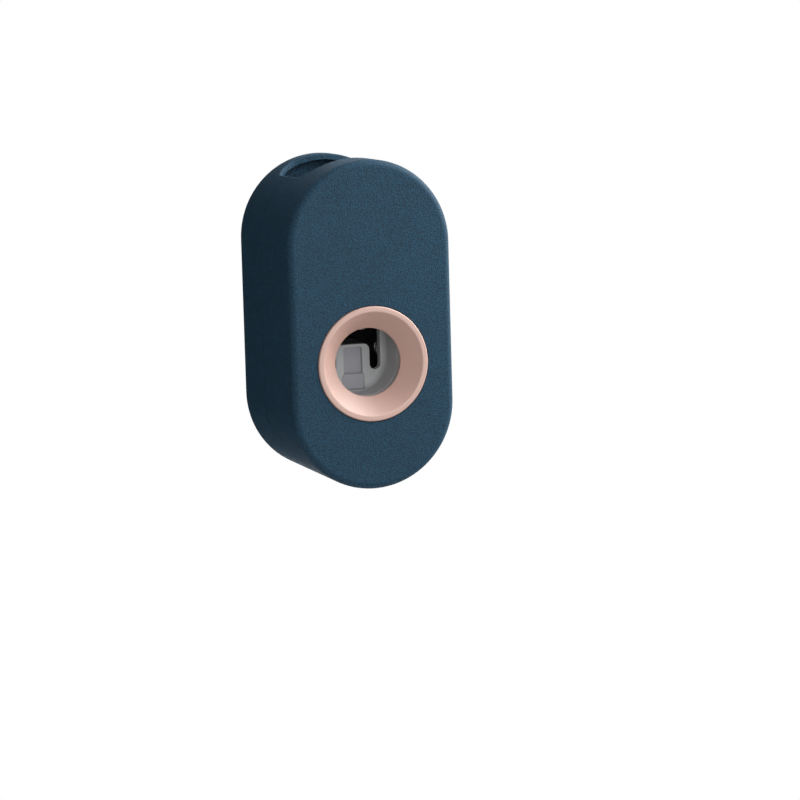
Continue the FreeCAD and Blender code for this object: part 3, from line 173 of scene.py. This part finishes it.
# Materials
class Finish:
    """A material and the nodes that give it its grain."""

    def __init__(self, name):
        self.material = bpy.data.materials.new(name)
        self.material.use_nodes = True
        self.tree = self.material.node_tree
        self.shader = next(node for node in self.tree.nodes if node.type == "BSDF_PRINCIPLED")
        self.place = self.tree.nodes.new("ShaderNodeTexCoord").outputs["Object"]

    def join(self, source, socket):
        self.tree.links.new(source, socket)

    def set(self, **values):
        for name, value in values.items():
            self.shader.inputs[name.replace("_", " ").title().replace("Ior", "IOR")].default_value = value
        return self

    def stretched(self, scale):
        """The object's coordinates, scaled apart along each axis."""
        mapping = self.tree.nodes.new("ShaderNodeMapping")
        mapping.inputs["Scale"].default_value = scale
        self.join(self.place, mapping.inputs["Vector"])
        return mapping.outputs["Vector"]

    def noise(self, scale, detail=2.0, place=None):
        node = self.tree.nodes.new("ShaderNodeTexNoise")
        node.inputs["Scale"].default_value = scale
        node.inputs["Detail"].default_value = detail
        self.join(place or self.place, node.inputs["Vector"])
        return node.outputs["Fac"]

    def cells(self, scale):
        node = self.tree.nodes.new("ShaderNodeTexVoronoi")
        node.inputs["Scale"].default_value = scale
        self.join(self.place, node.inputs["Vector"])
        return node.outputs["Distance"]

    def spread(self, source, low, high, start=0.3, end=0.7):
        """The source, with its range from start to end drawn out to run from low to high."""
        node = self.tree.nodes.new("ShaderNodeMapRange")
        node.inputs["From Min"].default_value = start
        node.inputs["From Max"].default_value = end
        node.inputs["To Min"].default_value = low
        node.inputs["To Max"].default_value = high
        self.join(source, node.inputs["Value"])
        return node.outputs["Result"]

    def blend(self, first, second, share):
        """Two grains added, with a share of the second."""
        node = self.tree.nodes.new("ShaderNodeMix")
        node.data_type = "FLOAT"
        node.inputs[0].default_value = share
        self.join(first, node.inputs[2])
        self.join(second, node.inputs[3])
        return node.outputs[0]

    def tint(self, source, colour, swing):
        """The colour, darker and lighter by a swing as the source goes from 0.3 to 0.7."""
        node = self.tree.nodes.new("ShaderNodeMix")
        node.data_type = "RGBA"
        dark = [channel * (1.0 - swing) for channel in colour]
        light = [min(1.0, channel * (1.0 + swing)) for channel in colour]
        node.inputs[6].default_value = (*dark, 1.0)
        node.inputs[7].default_value = (*light, 1.0)
        self.join(self.spread(source, 0.0, 1.0), node.inputs[0])
        self.join(node.outputs[2], self.shader.inputs["Base Color"])
        return self

    def gloss(self, source, low, high):
        self.join(self.spread(source, low, high), self.shader.inputs["Roughness"])
        return self

    def relief(self, source, distance, strength=1.0):
        node = self.tree.nodes.new("ShaderNodeBump")
        node.inputs["Strength"].default_value = strength
        node.inputs["Distance"].default_value = distance
        self.join(source, node.inputs["Height"])
        self.join(node.outputs["Normal"], self.shader.inputs["Normal"])
        return self


def casing_plastic(colour):
    """Matt spark-eroded plastic: a fine even grain over a faint mottle."""
    finish = Finish("casing_plastic")
    grain = finish.noise(2600.0, 0.0)
    mottle = finish.noise(90.0, 3.0)
    finish.tint(finish.blend(mottle, grain, 0.92), colour, 0.6)
    finish.gloss(grain, 0.55, 0.7)
    finish.relief(grain, 0.00014, 1.0)
    return finish.set(specular_ior_level=0.2).material


def rose_paint(colour):
    """Satin pearl paint: flakes too fine to see one by one, and a soft gloss."""
    finish = Finish("rose_paint")
    flakes = finish.noise(5200.0, 1.0)
    cloud = finish.noise(160.0, 2.0)
    finish.tint(finish.blend(cloud, flakes, 0.6), colour, 0.07)
    finish.gloss(cloud, 0.49, 0.55)
    finish.relief(flakes, 0.00001, 0.25)
    return finish.set(ior=1.7, specular_ior_level=0.8).material


def moulded_plastic(name, colour, grain_scale, rough, swing, relief_depth):
    """Plain moulded plastic with a grain of its own."""
    finish = Finish(name)
    grain = finish.noise(grain_scale, 3.0)
    flow = finish.noise(120.0, 2.0)
    finish.tint(finish.blend(flow, grain, 0.5), colour, swing)
    finish.gloss(grain, rough - 0.06, rough + 0.06)
    finish.relief(grain, relief_depth, 0.5)
    return finish.set(specular_ior_level=0.35).material


def soft_rubber(name, colour, rough):
    """Rubber or milky silicone with dust-fine marks."""
    finish = Finish(name)
    marks = finish.noise(900.0, 4.0)
    cloud = finish.noise(140.0, 2.0)
    finish.tint(finish.blend(cloud, marks, 0.4), colour, 0.06)
    finish.gloss(marks, rough - 0.07, rough + 0.07)
    finish.relief(marks, 0.00002, 0.4)
    return finish.set(specular_ior_level=0.3).material


def drawn_steel(name, colour, rough):
    """Steel with fine marks along its length."""
    finish = Finish(name)
    marks = finish.noise(1.0, 2.0, finish.stretched((9000.0, 700.0, 9000.0)))
    stain = finish.noise(260.0, 3.0)
    finish.tint(finish.blend(stain, marks, 0.5), colour, 0.1)
    finish.gloss(marks, rough - 0.07, rough + 0.07)
    finish.relief(marks, 0.000008, 0.4)
    return finish.set(metallic=1.0).material


def foam_tape(colour):
    """White foam tape with open cells."""
    finish = Finish("foam_tape")
    cells = finish.cells(2400.0)
    cloud = finish.noise(300.0, 3.0)
    finish.tint(finish.blend(cloud, cells, 0.35), colour, 0.1)
    finish.gloss(cloud, 0.8, 0.95)
    finish.relief(cells, 0.0001, 0.6)
    return finish.set(specular_ior_level=0.2).material


def paint(name, material):
    """Gives a CAD node its material."""
    node = NODES[name]
    node.data.materials.clear()
    node.data.materials.append(material)


# Meshes
def finished_piece(mesh, name, material, body, slot, *nodes):
    """A new piece in the scene, in its finish, on its body, in place of CAD nodes."""
    piece = bpy.data.objects.new(name, mesh)
    bpy.context.scene.collection.objects.link(piece)
    mesh.materials.clear()
    mesh.materials.append(material)
    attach(piece, body)
    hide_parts(*nodes)
    return piece


def mesh_from(work, name):
    """A mesh from a bmesh, smooth but for its sharp edges."""
    bmesh.ops.recalc_face_normals(work, faces=work.faces)
    for face in work.faces:
        face.smooth = True
    for edge in work.edges:
        edge.smooth = len(edge.link_faces) == 2 and edge.calc_face_angle(0.0) < SHARP_EDGE
    mesh = bpy.data.meshes.new(name)
    work.to_mesh(mesh)
    work.free()
    return mesh


def node_copy(name):
    """A bmesh of a CAD node with its split points joined."""
    work = bmesh.new()
    work.from_mesh(NODES[name].data)
    bmesh.ops.remove_doubles(work, verts=work.verts, dist=MERGE_DISTANCE)
    return work


def loose_parts(work):
    """The points of each separate solid in a bmesh."""
    left = set(work.verts)
    parts = []
    while left:
        front = [left.pop()]
        part = []
        while front:
            point = front.pop()
            part.append(point.co.copy())
            for edge in point.link_edges:
                other = edge.other_vert(point)
                if other in left:
                    left.discard(other)
                    front.append(other)
        parts.append(part)
    return parts


def softened(name, width):
    """A CAD node's form with its sharp edges rounded over."""
    work = node_copy(name)
    bmesh.ops.dissolve_limit(
        work, angle_limit=FLAT_EDGE, verts=work.verts, edges=work.edges, delimit={"NORMAL"}
    )
    sharp = [edge for edge in work.edges if edge.calc_face_angle(0.0) > ROUNDED_EDGE]
    bmesh.ops.bevel(
        work, geom=sharp, offset=width, segments=3, profile=0.5, affect="EDGES", clamp_overlap=True
    )
    return mesh_from(work, name)


def lathe(work, profile, steps, place):
    """A closed profile of radius and height turned about an axis, then placed."""
    rings = []
    for step in range(steps):
        angle = 2.0 * math.pi * step / steps
        ring = []
        for radius, height in profile:
            spot = Vector((radius * math.cos(angle), radius * math.sin(angle), height))
            ring.append(work.verts.new(place @ spot))
        rings.append(ring)
    count = len(profile)
    for step in range(steps):
        near = rings[step]
        far = rings[(step + 1) % steps]
        for index in range(count):
            after = (index + 1) % count
            if profile[index][0] > 0.0 or profile[after][0] > 0.0:
                work.faces.new((near[index], near[after], far[after], far[index]))
    bmesh.ops.remove_doubles(work, verts=work.verts, dist=MERGE_DISTANCE)


def sweep(work, path, radius, sides):
    """A round wire along a path of points, closed at both ends."""
    rings = []
    for index, spot in enumerate(path):
        ahead = path[min(index + 1, len(path) - 1)]
        behind = path[max(index - 1, 0)]
        along = (ahead - behind).normalized()
        out = Vector((spot.x, spot.y, 0.0)).normalized()
        out = (out - along * out.dot(along)).normalized()
        across = along.cross(out)
        ring = []
        for side in range(sides):
            angle = 2.0 * math.pi * side / sides
            ring.append(work.verts.new(spot + (out * math.cos(angle) + across * math.sin(angle)) * radius))
        rings.append(ring)
    for near, far in zip(rings, rings[1:]):
        for side in range(sides):
            after = (side + 1) % sides
            work.faces.new((near[side], near[after], far[after], far[side]))
    work.faces.new(rings[0])
    work.faces.new(rings[-1])


def axis_place(x, y, z, towards):
    """Turns a form made about Z so that its top faces along Y, to the wall or to the front."""
    turn = Matrix.Rotation(math.radians(-90.0 * towards), 4, "X")
    return Matrix.Translation((x, y, z)) @ turn


def with_cut(mesh, cutter_mesh, name):
    """A mesh with another mesh cut out of it."""
    scene = bpy.context.scene
    body = bpy.data.objects.new(name, mesh)
    cutter = bpy.data.objects.new(name + "_cutter", cutter_mesh)
    scene.collection.objects.link(body)
    scene.collection.objects.link(cutter)
    cut = body.modifiers.new("cut", "BOOLEAN")
    cut.object = cutter
    cut.operation = "DIFFERENCE"
    cut.solver = "EXACT"
    cut.use_self = True
    evaluated = body.evaluated_get(bpy.context.evaluated_depsgraph_get())
    result = bpy.data.meshes.new_from_object(evaluated)
    bpy.data.objects.remove(body)
    bpy.data.objects.remove(cutter)
    return result


def cross_cutter(width, depth, top, name):
    """A tapered cross, its arms at the top of a screw head."""
    work = bmesh.new()
    arm = width * 0.17
    taper = 0.72
    for turn in (0.0, 90.0):
        low = []
        high = []
        for x, y in ((-1, -1), (1, -1), (1, 1), (-1, 1)):
            high.append(work.verts.new((x * width / 2, y * arm / 2, top + depth)))
            low.append(work.verts.new((x * width / 2 * taper, y * arm / 2 * taper, top - depth)))
        work.faces.new(low[::-1])
        work.faces.new(high)
        for index in range(4):
            after = (index + 1) % 4
            work.faces.new((low[index], low[after], high[after], high[index]))
        new = low + high
        bmesh.ops.rotate(work, verts=new, cent=(0, 0, 0), matrix=Matrix.Rotation(math.radians(turn), 3, "Z"))
    return mesh_from(work, name)


def screw_mesh(shape, sizes, name):
    """A pan-head screw about Z: tip at height 0, cross recess in the top of the head."""
    length, head_radius, head_height, shank_radius = shape
    neck = length - head_height
    pitch = shank_radius * 0.75
    thread_root = shank_radius * 0.8
    point_radius = shank_radius * 0.55
    profile = [(0.0, 0.0), (point_radius, 0.0)]
    lead_in = pitch * 0.6
    run_out = pitch * 0.4
    height = lead_in
    while height + pitch < neck - run_out:
        profile.append((thread_root, height))
        profile.append((shank_radius, height + pitch * 0.5))
        height += pitch
    profile.append((thread_root, height))
    profile.append((thread_root, neck))
    head_bevel = head_radius * 0.04
    profile.append((head_radius - head_bevel, neck))
    profile.append((head_radius, neck + head_height * 0.06))
    crown_steps = 8
    crown_flat = head_radius * 0.55
    crown_start = head_height * 0.35
    for step in range(crown_steps + 1):
        angle = math.pi / 2 * step / crown_steps
        radius = crown_flat + (head_radius - crown_flat) * math.cos(angle)
        rise = crown_start + (head_height - crown_start) * math.sin(angle)
        profile.append((radius, neck + rise))
    profile.append((0.0, length))
    work = bmesh.new()
    lathe(work, profile, sizes.screw_sides, Matrix.Identity(4))
    solid = mesh_from(work, name)
    cutter = cross_cutter(
        head_radius * 2 * sizes.recess_width, head_height * sizes.recess_depth, length, name + "_cross"
    )
    return with_cut(solid, cutter, name)


def screw_shape(part):
    """Place and measures of one CAD screw from its points: its axis runs along Y."""
    low = Vector([min(point[axis] for point in part) for axis in range(3)])
    high = Vector([max(point[axis] for point in part) for axis in range(3)])
    centre = (low + high) / 2
    head_radius = (high.x - low.x) / 2

    def off_axis(point):
        return math.hypot(point.x - centre.x, point.z - centre.z)

    head = [point.y for point in part if off_axis(point) > head_radius * 0.9]
    to_wall = max(head) > high.y - MERGE_DISTANCE
    tip = low.y if to_wall else high.y
    shank_radius = max(off_axis(point) for point in part if abs(point.y - tip) < MERGE_DISTANCE)
    shape = (high.y - low.y, head_radius, max(head) - min(head), shank_radius)
    return axis_place(centre.x, tip, centre.z, 1.0 if to_wall else -1.0), shape


def helix(length, radius, wire, turns, per_turn):
    """The line of a compression spring about Z: one close turn at each end, open turns between."""
    close = 2.0 * wire * 1.15
    open_turns = turns - 2.0
    rise = (length - 2.0 * wire - 2.0 * close) / open_turns
    path = []
    count = int(round(turns * per_turn))
    for index in range(count + 1):
        turn = index / per_turn
        first = min(turn, 1.0)
        last = max(0.0, turn - (turns - 1.0))
        height = wire + close * (first + last) + rise * (turn - first - last)
        angle = 2.0 * math.pi * turn
        path.append(Vector((radius * math.cos(angle), radius * math.sin(angle), height)))
    return path


def bellows_profile(length, flange, crest, skin, folds):
    """Radius and height round the bellows' skin: flange at 0, soft folds, cap at the length."""
    root = crest * 0.667
    flange_height = length * 0.07
    cap = length * 0.116
    steps = 16
    outer = []
    for index in range(folds * steps + 1):
        share = index / steps
        swing = (1.0 - math.cos(2.0 * math.pi * share)) / 2.0
        height = flange_height + (length - flange_height - cap) * share / folds
        outer.append((root + (crest - root) * swing, height))
    inner = [(radius - skin, height) for radius, height in outer]
    bevel = flange_height * 0.2
    profile = [(root - skin, 0.0), (flange - bevel, 0.0), (flange, bevel), (flange, flange_height - bevel)]
    profile += [(flange - bevel, flange_height)]
    profile += outer
    profile += [(root, length - bevel), (root - bevel, length), (0.0, length), (0.0, length - cap)]
    profile += inner[::-1]
    return profile


def between(low, high):
    """The middle of a box."""
    return (low + high) / 2


# Operators
class DISPENSER_OT_casing(bpy.types.Operator):
    """Finish the two shells of the casing"""

    bl_idname = "dispenser.casing"
    bl_label = "Casing"

    def execute(self, context):
        plastic = casing_plastic(context.scene.dispenser_finish.casing)
        paint("rear_shell", plastic)
        paint("front_shell", plastic)
        return {"FINISHED"}


class DISPENSER_OT_trim_ring(bpy.types.Operator):
    """Finish the ring round the brush mouth"""

    bl_idname = "dispenser.trim_ring"
    bl_label = "Trim ring"

    def execute(self, context):
        paint("trim_ring", rose_paint(context.scene.dispenser_finish.trim))
        return {"FINISHED"}


class DISPENSER_OT_pusher(bpy.types.Operator):
    """Finish the pusher and its pad"""

    bl_idname = "dispenser.pusher"
    bl_label = "Pusher and pad"

    def execute(self, context):
        finish = context.scene.dispenser_finish
        trough = moulded_plastic(
            "pusher_plastic", finish.pusher, grain_scale=1800.0, rough=0.5, swing=0.08, relief_depth=0.00003
        )
        pad = moulded_plastic(
            "pad_plastic", finish.pad, grain_scale=2200.0, rough=0.55, swing=0.08, relief_depth=0.00004
        )
        paint("pusher", trough)
        paint("push_pad", pad)
        return {"FINISHED"}


class DISPENSER_OT_pump(bpy.types.Operator):
    """Finish the hard parts of the pump"""

    bl_idname = "dispenser.pump"
    bl_label = "Pump body, collar, nozzle, cover and clamp"

    def execute(self, context):
        finish = context.scene.dispenser_finish
        plastic = moulded_plastic(
            "pump_plastic", finish.inside, grain_scale=1600.0, rough=0.48, swing=0.2, relief_depth=0.00003
        )
        for name in ("pump_body", "seal_collar", "nozzle", "duct_cover", "bellows_clamp"):
            paint(name, plastic)
        return {"FINISHED"}


class DISPENSER_OT_seals(bpy.types.Operator):
    """Make the neck seal, the gasket and the two valves"""

    bl_idname = "dispenser.seals"
    bl_label = "Seals and valves"

    def execute(self, context):
        rubber = soft_rubber("silicone", context.scene.dispenser_finish.silicone, rough=0.43)
        edge = context.scene.dispenser_sizes.soft_edge
        thin_edge = edge / 3
        edges = {
            "neck_seal": edge,
            "duct_gasket": thin_edge,
            "inlet_valve": thin_edge,
            "outlet_valve": thin_edge,
        }
        for name, width in edges.items():
            finished_piece(softened(name, width), name + "_soft", rubber, "casing", "silicone", name)
        return {"FINISHED"}


class DISPENSER_OT_bellows(bpy.types.Operator):
    """Make the bellows that pumps the paste"""

    bl_idname = "dispenser.bellows"
    bl_label = "Bellows"

    def execute(self, context):
        sizes = context.scene.dispenser_sizes
        low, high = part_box("bellows")
        centre = between(low, high)
        length = high.y - low.y
        flange = (high.x - low.x) / 2
        crest = flange * sizes.bellows_crest
        profile = bellows_profile(length, flange, crest, sizes.bellows_skin, sizes.bellows_folds)
        work = bmesh.new()
        lathe(work, profile, sizes.bellows_sides, axis_place(centre.x, high.y, centre.z, -1.0))
        # The bellows' black rubber is darkened further, as painted shade inside the brush mouth
        rubber = soft_rubber("bellows_rubber", context.scene.dispenser_finish.bellows, rough=0.85)
        mesh = mesh_from(work, "bellows")
        piece = finished_piece(mesh, "bellows_skin", rubber, "casing", "black_rubber", "bellows")
        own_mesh(piece)
        return {"FINISHED"}


class DISPENSER_OT_springs(bpy.types.Operator):
    """Wind the two return springs"""

    bl_idname = "dispenser.springs"
    bl_label = "Return springs"

    def execute(self, context):
        sizes = context.scene.dispenser_sizes
        steel = drawn_steel("spring_steel", context.scene.dispenser_finish.steel, rough=0.29)
        for name in ("return_spring_right", "return_spring_left"):
            low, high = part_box(name)
            centre = between(low, high)
            length = high.y - low.y
            radius = (high.x - low.x) / 2 - sizes.wire_radius
            work = bmesh.new()
            path = helix(length, radius, sizes.wire_radius, sizes.coil_turns, sizes.turn_steps)
            sweep(work, path, sizes.wire_radius, sizes.wire_sides)
            bmesh.ops.transform(work, matrix=axis_place(centre.x, high.y, centre.z, -1.0), verts=work.verts)
            piece = finished_piece(mesh_from(work, name), name + "_wire", steel, "casing", "steel", name)
            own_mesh(piece)
        return {"FINISHED"}


class DISPENSER_OT_rods(bpy.types.Operator):
    """Finish the guide rods and their clips"""

    bl_idname = "dispenser.rods"
    bl_label = "Guide rods and clips"

    def execute(self, context):
        steel = drawn_steel("rod_steel", context.scene.dispenser_finish.steel, rough=0.29)
        paint("guide_rods", steel)
        paint("rod_clips", steel)
        return {"FINISHED"}


class DISPENSER_OT_screws(bpy.types.Operator):
    """Make the screws, with their recessed heads"""

    bl_idname = "dispenser.screws"
    bl_label = "Screws"

    def execute(self, context):
        sizes = context.scene.dispenser_sizes
        finish = context.scene.dispenser_finish
        bright = drawn_steel("screw_steel", finish.steel, rough=0.29)
        dark = drawn_steel("dark_screw_steel", finish.dark_steel, rough=0.6)
        kinds = {
            "case_screws": (bright, "steel"),
            "mount_screws": (dark, "dark_steel"),
            "pump_screws": (dark, "dark_steel"),
        }
        for name, (steel, slot) in kinds.items():
            source = node_copy(name)
            parts = loose_parts(source)
            source.free()
            work = bmesh.new()
            for part in parts:
                place, shape = screw_shape(part)
                screw = screw_mesh(shape, sizes, name)
                screw.transform(place)
                work.from_mesh(screw)
                bpy.data.meshes.remove(screw)
            finished_piece(mesh_from(work, name), name + "_cross", steel, "casing", slot, name)
        return {"FINISHED"}


class DISPENSER_OT_wall_bracket(bpy.types.Operator):
    """Finish the wall plate and make its adhesive pad"""

    bl_idname = "dispenser.wall_bracket"
    bl_label = "Wall plate and adhesive pad"

    def execute(self, context):
        finish = context.scene.dispenser_finish
        edge = context.scene.dispenser_sizes.soft_edge
        plate = moulded_plastic(
            "plate_plastic", finish.inside, grain_scale=1200.0, rough=0.5, swing=0.2, relief_depth=0.00005
        )
        paint("wall_plate", plate)
        foam = foam_tape(finish.tape)
        finished_piece(
            softened("adhesive_pad", edge), "adhesive_pad_foam", foam, "wall_bracket", "tape", "adhesive_pad"
        )
        return {"FINISHED"}


# Stage
def way_out(turn, tilt):
    """The direction at a turn to the right of the front and a tilt above it."""
    return Vector((math.sin(turn) * math.cos(tilt), -math.cos(turn) * math.cos(tilt), math.sin(tilt)))


def hang(item, turn, tilt, distance, target):
    """Hangs a lamp or a card at a turn, tilt and distance from the target, facing it."""
    way = way_out(math.radians(turn), math.radians(tilt))
    item.location = target + way * distance
    item.rotation_mode = "QUATERNION"
    item.rotation_quaternion = way.to_track_quat("Z", "Y")
    bpy.context.scene.collection.objects.link(item)


def softbox(name, power, target):
    """A square lamp that faces the target from its place in the rig."""
    turn, tilt, distance, width = RIG[name]
    lamp = bpy.data.lights.new(name, "AREA")
    lamp.size = width
    lamp.energy = power
    hang(bpy.data.objects.new(name, lamp), turn, tilt, distance, target)


def hang_flag(target):
    """A dark card behind the left side, unseen by the camera, that the side reflects."""
    turn, tilt, distance, width = FLAG
    work = bmesh.new()
    bmesh.ops.create_grid(work, x_segments=4, y_segments=4, size=width / 2)
    flag = bpy.data.objects.new("flag", mesh_from(work, "flag"))
    flag.visible_camera = False
    hang(flag, turn, tilt, distance, target)
    finish = Finish("flag_cloth")
    finish.tint(finish.noise(60.0, 2.0), (0.01, 0.01, 0.01), 0.3)
    flag.data.materials.append(finish.set(roughness=0.9, specular_ior_level=0.1).material)


def place_camera(stage, target):
    """The camera on a line through the target, turned about it and about its own axis."""
    lens = bpy.data.cameras.new("camera")
    lens.lens = stage.lens
    lens.shift_x = stage.shift_x
    lens.shift_y = stage.shift_y
    lens.clip_start = 0.01
    lens.clip_end = 50.0
    camera = bpy.data.objects.new("camera", lens)
    bpy.context.scene.collection.objects.link(camera)
    back = way_out(stage.azimuth, stage.elevation)
    right = Vector((math.cos(stage.azimuth), math.sin(stage.azimuth), 0.0))
    up = back.cross(right)
    across = right * math.cos(stage.roll) + up * math.sin(stage.roll)
    upward = up * math.cos(stage.roll) - right * math.sin(stage.roll)
    spot = target + back * stage.distance
    rows = [(across[axis], upward[axis], back[axis], spot[axis]) for axis in range(3)]
    camera.matrix_world = Matrix((*rows, (0.0, 0.0, 0.0, 1.0)))
    bpy.context.scene.camera = camera


def light_world(ambient):
    """Soft light from all round, behind a background that is white to the eye and in reflections."""
    world = bpy.data.worlds.new("studio")
    bpy.context.scene.world = world
    world.use_nodes = True
    tree = world.node_tree
    tree.nodes.clear()
    soft = tree.nodes.new("ShaderNodeBackground")
    soft.inputs["Strength"].default_value = ambient
    white = tree.nodes.new("ShaderNodeBackground")
    white.inputs["Color"].default_value = (1.0, 1.0, 1.0, 1.0)
    path = tree.nodes.new("ShaderNodeLightPath")
    seen = path.outputs["Is Camera Ray"]
    for kind in ("Is Glossy Ray", "Is Transmission Ray"):
        either = tree.nodes.new("ShaderNodeMath")
        either.operation = "MAXIMUM"
        tree.links.new(seen, either.inputs[0])
        tree.links.new(path.outputs[kind], either.inputs[1])
        seen = either.outputs[0]
    mix = tree.nodes.new("ShaderNodeMixShader")
    out = tree.nodes.new("ShaderNodeOutputWorld")
    tree.links.new(seen, mix.inputs[0])
    tree.links.new(soft.outputs[0], mix.inputs[1])
    tree.links.new(white.outputs[0], mix.inputs[2])
    tree.links.new(mix.outputs[0], out.inputs["Surface"])


def lay_floor(height):
    """A round pale floor that fades out at its edge."""
    work = bmesh.new()
    bmesh.ops.create_circle(work, cap_ends=True, segments=96, radius=FLOOR_RADIUS)
    floor = bpy.data.objects.new("floor", mesh_from(work, "floor"))
    floor.location = (0.0, 0.0, -height)
    bpy.context.scene.collection.objects.link(floor)
    finish = Finish("floor_paint")
    finish.tint(finish.noise(14.0, 3.0), (0.9, 0.9, 0.9), 0.015)
    finish.set(roughness=0.8, specular_ior_level=0.2)
    tree = finish.tree
    distance = tree.nodes.new("ShaderNodeVectorMath")
    distance.operation = "LENGTH"
    finish.join(finish.place, distance.inputs[0])
    fade = finish.spread(distance.outputs["Value"], 0.0, 1.0, *FLOOR_FADE)
    clear = tree.nodes.new("ShaderNodeBsdfTransparent")
    mix = tree.nodes.new("ShaderNodeMixShader")
    out = next(node for node in tree.nodes if node.type == "OUTPUT_MATERIAL")
    finish.join(fade, mix.inputs[0])
    finish.join(finish.shader.outputs[0], mix.inputs[1])
    finish.join(clear.outputs[0], mix.inputs[2])
    finish.join(mix.outputs[0], out.inputs["Surface"])
    floor.data.materials.append(finish.material)


class DISPENSER_OT_stage(bpy.types.Operator):
    """Set the camera, the floor and the lights"""

    bl_idname = "dispenser.stage"
    bl_label = "Stage"

    def execute(self, context):
        stage = context.scene.dispenser_stage
        low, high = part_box("rear_shell")
        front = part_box("front_shell")[0]
        middle = Vector((0.0, (front.y + high.y) / 2, (low.z + high.z) / 2))
        place_camera(stage, middle)
        lay_floor(stage.floor_height)
        light_world(stage.ambient)
        hang_flag(middle)
        for name in RIG:
            softbox(name, getattr(stage, name), middle)
        context.scene.view_settings.view_transform = "Standard"
        return {"FINISHED"}


# Panel and registration
class DISPENSER_PT_panel(bpy.types.Panel):
    """The dispenser's pieces, in the order that they are made"""

    bl_label = "Toothpaste dispenser"
    bl_idname = "DISPENSER_PT_panel"
    bl_space_type = "VIEW_3D"
    bl_region_type = "UI"
    bl_category = "Dispenser"

    def draw(self, context):
        for group in GROUPS:
            box = self.layout.box()
            values = getattr(context.scene, group)
            for name in values.__annotations__:
                box.prop(values, name)
        for operator in OPERATORS:
            self.layout.operator(operator.bl_idname)


GROUPS = {
    "dispenser_finish": DispenserFinish,
    "dispenser_sizes": DispenserSizes,
    "dispenser_stage": DispenserStage,
}
OPERATORS = (
    DISPENSER_OT_casing,
    DISPENSER_OT_trim_ring,
    DISPENSER_OT_pusher,
    DISPENSER_OT_pump,
    DISPENSER_OT_seals,
    DISPENSER_OT_bellows,
    DISPENSER_OT_springs,
    DISPENSER_OT_rods,
    DISPENSER_OT_screws,
    DISPENSER_OT_wall_bracket,
    DISPENSER_OT_stage,
)
CLASSES = (*GROUPS.values(), *OPERATORS, DISPENSER_PT_panel)


def register():
    for item in CLASSES:
        bpy.utils.register_class(item)
    for name, group in GROUPS.items():
        setattr(bpy.types.Scene, name, PointerProperty(type=group))


def unregister():
    for name in GROUPS:
        delattr(bpy.types.Scene, name)
    for item in reversed(CLASSES):
        bpy.utils.unregister_class(item)


def main():
    register()
    bpy.ops.dispenser.casing()
    bpy.ops.dispenser.trim_ring()
    bpy.ops.dispenser.pusher()
    bpy.ops.dispenser.pump()
    bpy.ops.dispenser.seals()
    bpy.ops.dispenser.bellows()
    bpy.ops.dispenser.springs()
    bpy.ops.dispenser.rods()
    bpy.ops.dispenser.screws()
    bpy.ops.dispenser.wall_bracket()
    bpy.ops.dispenser.stage()


if __name__ == "__main__":
    main()
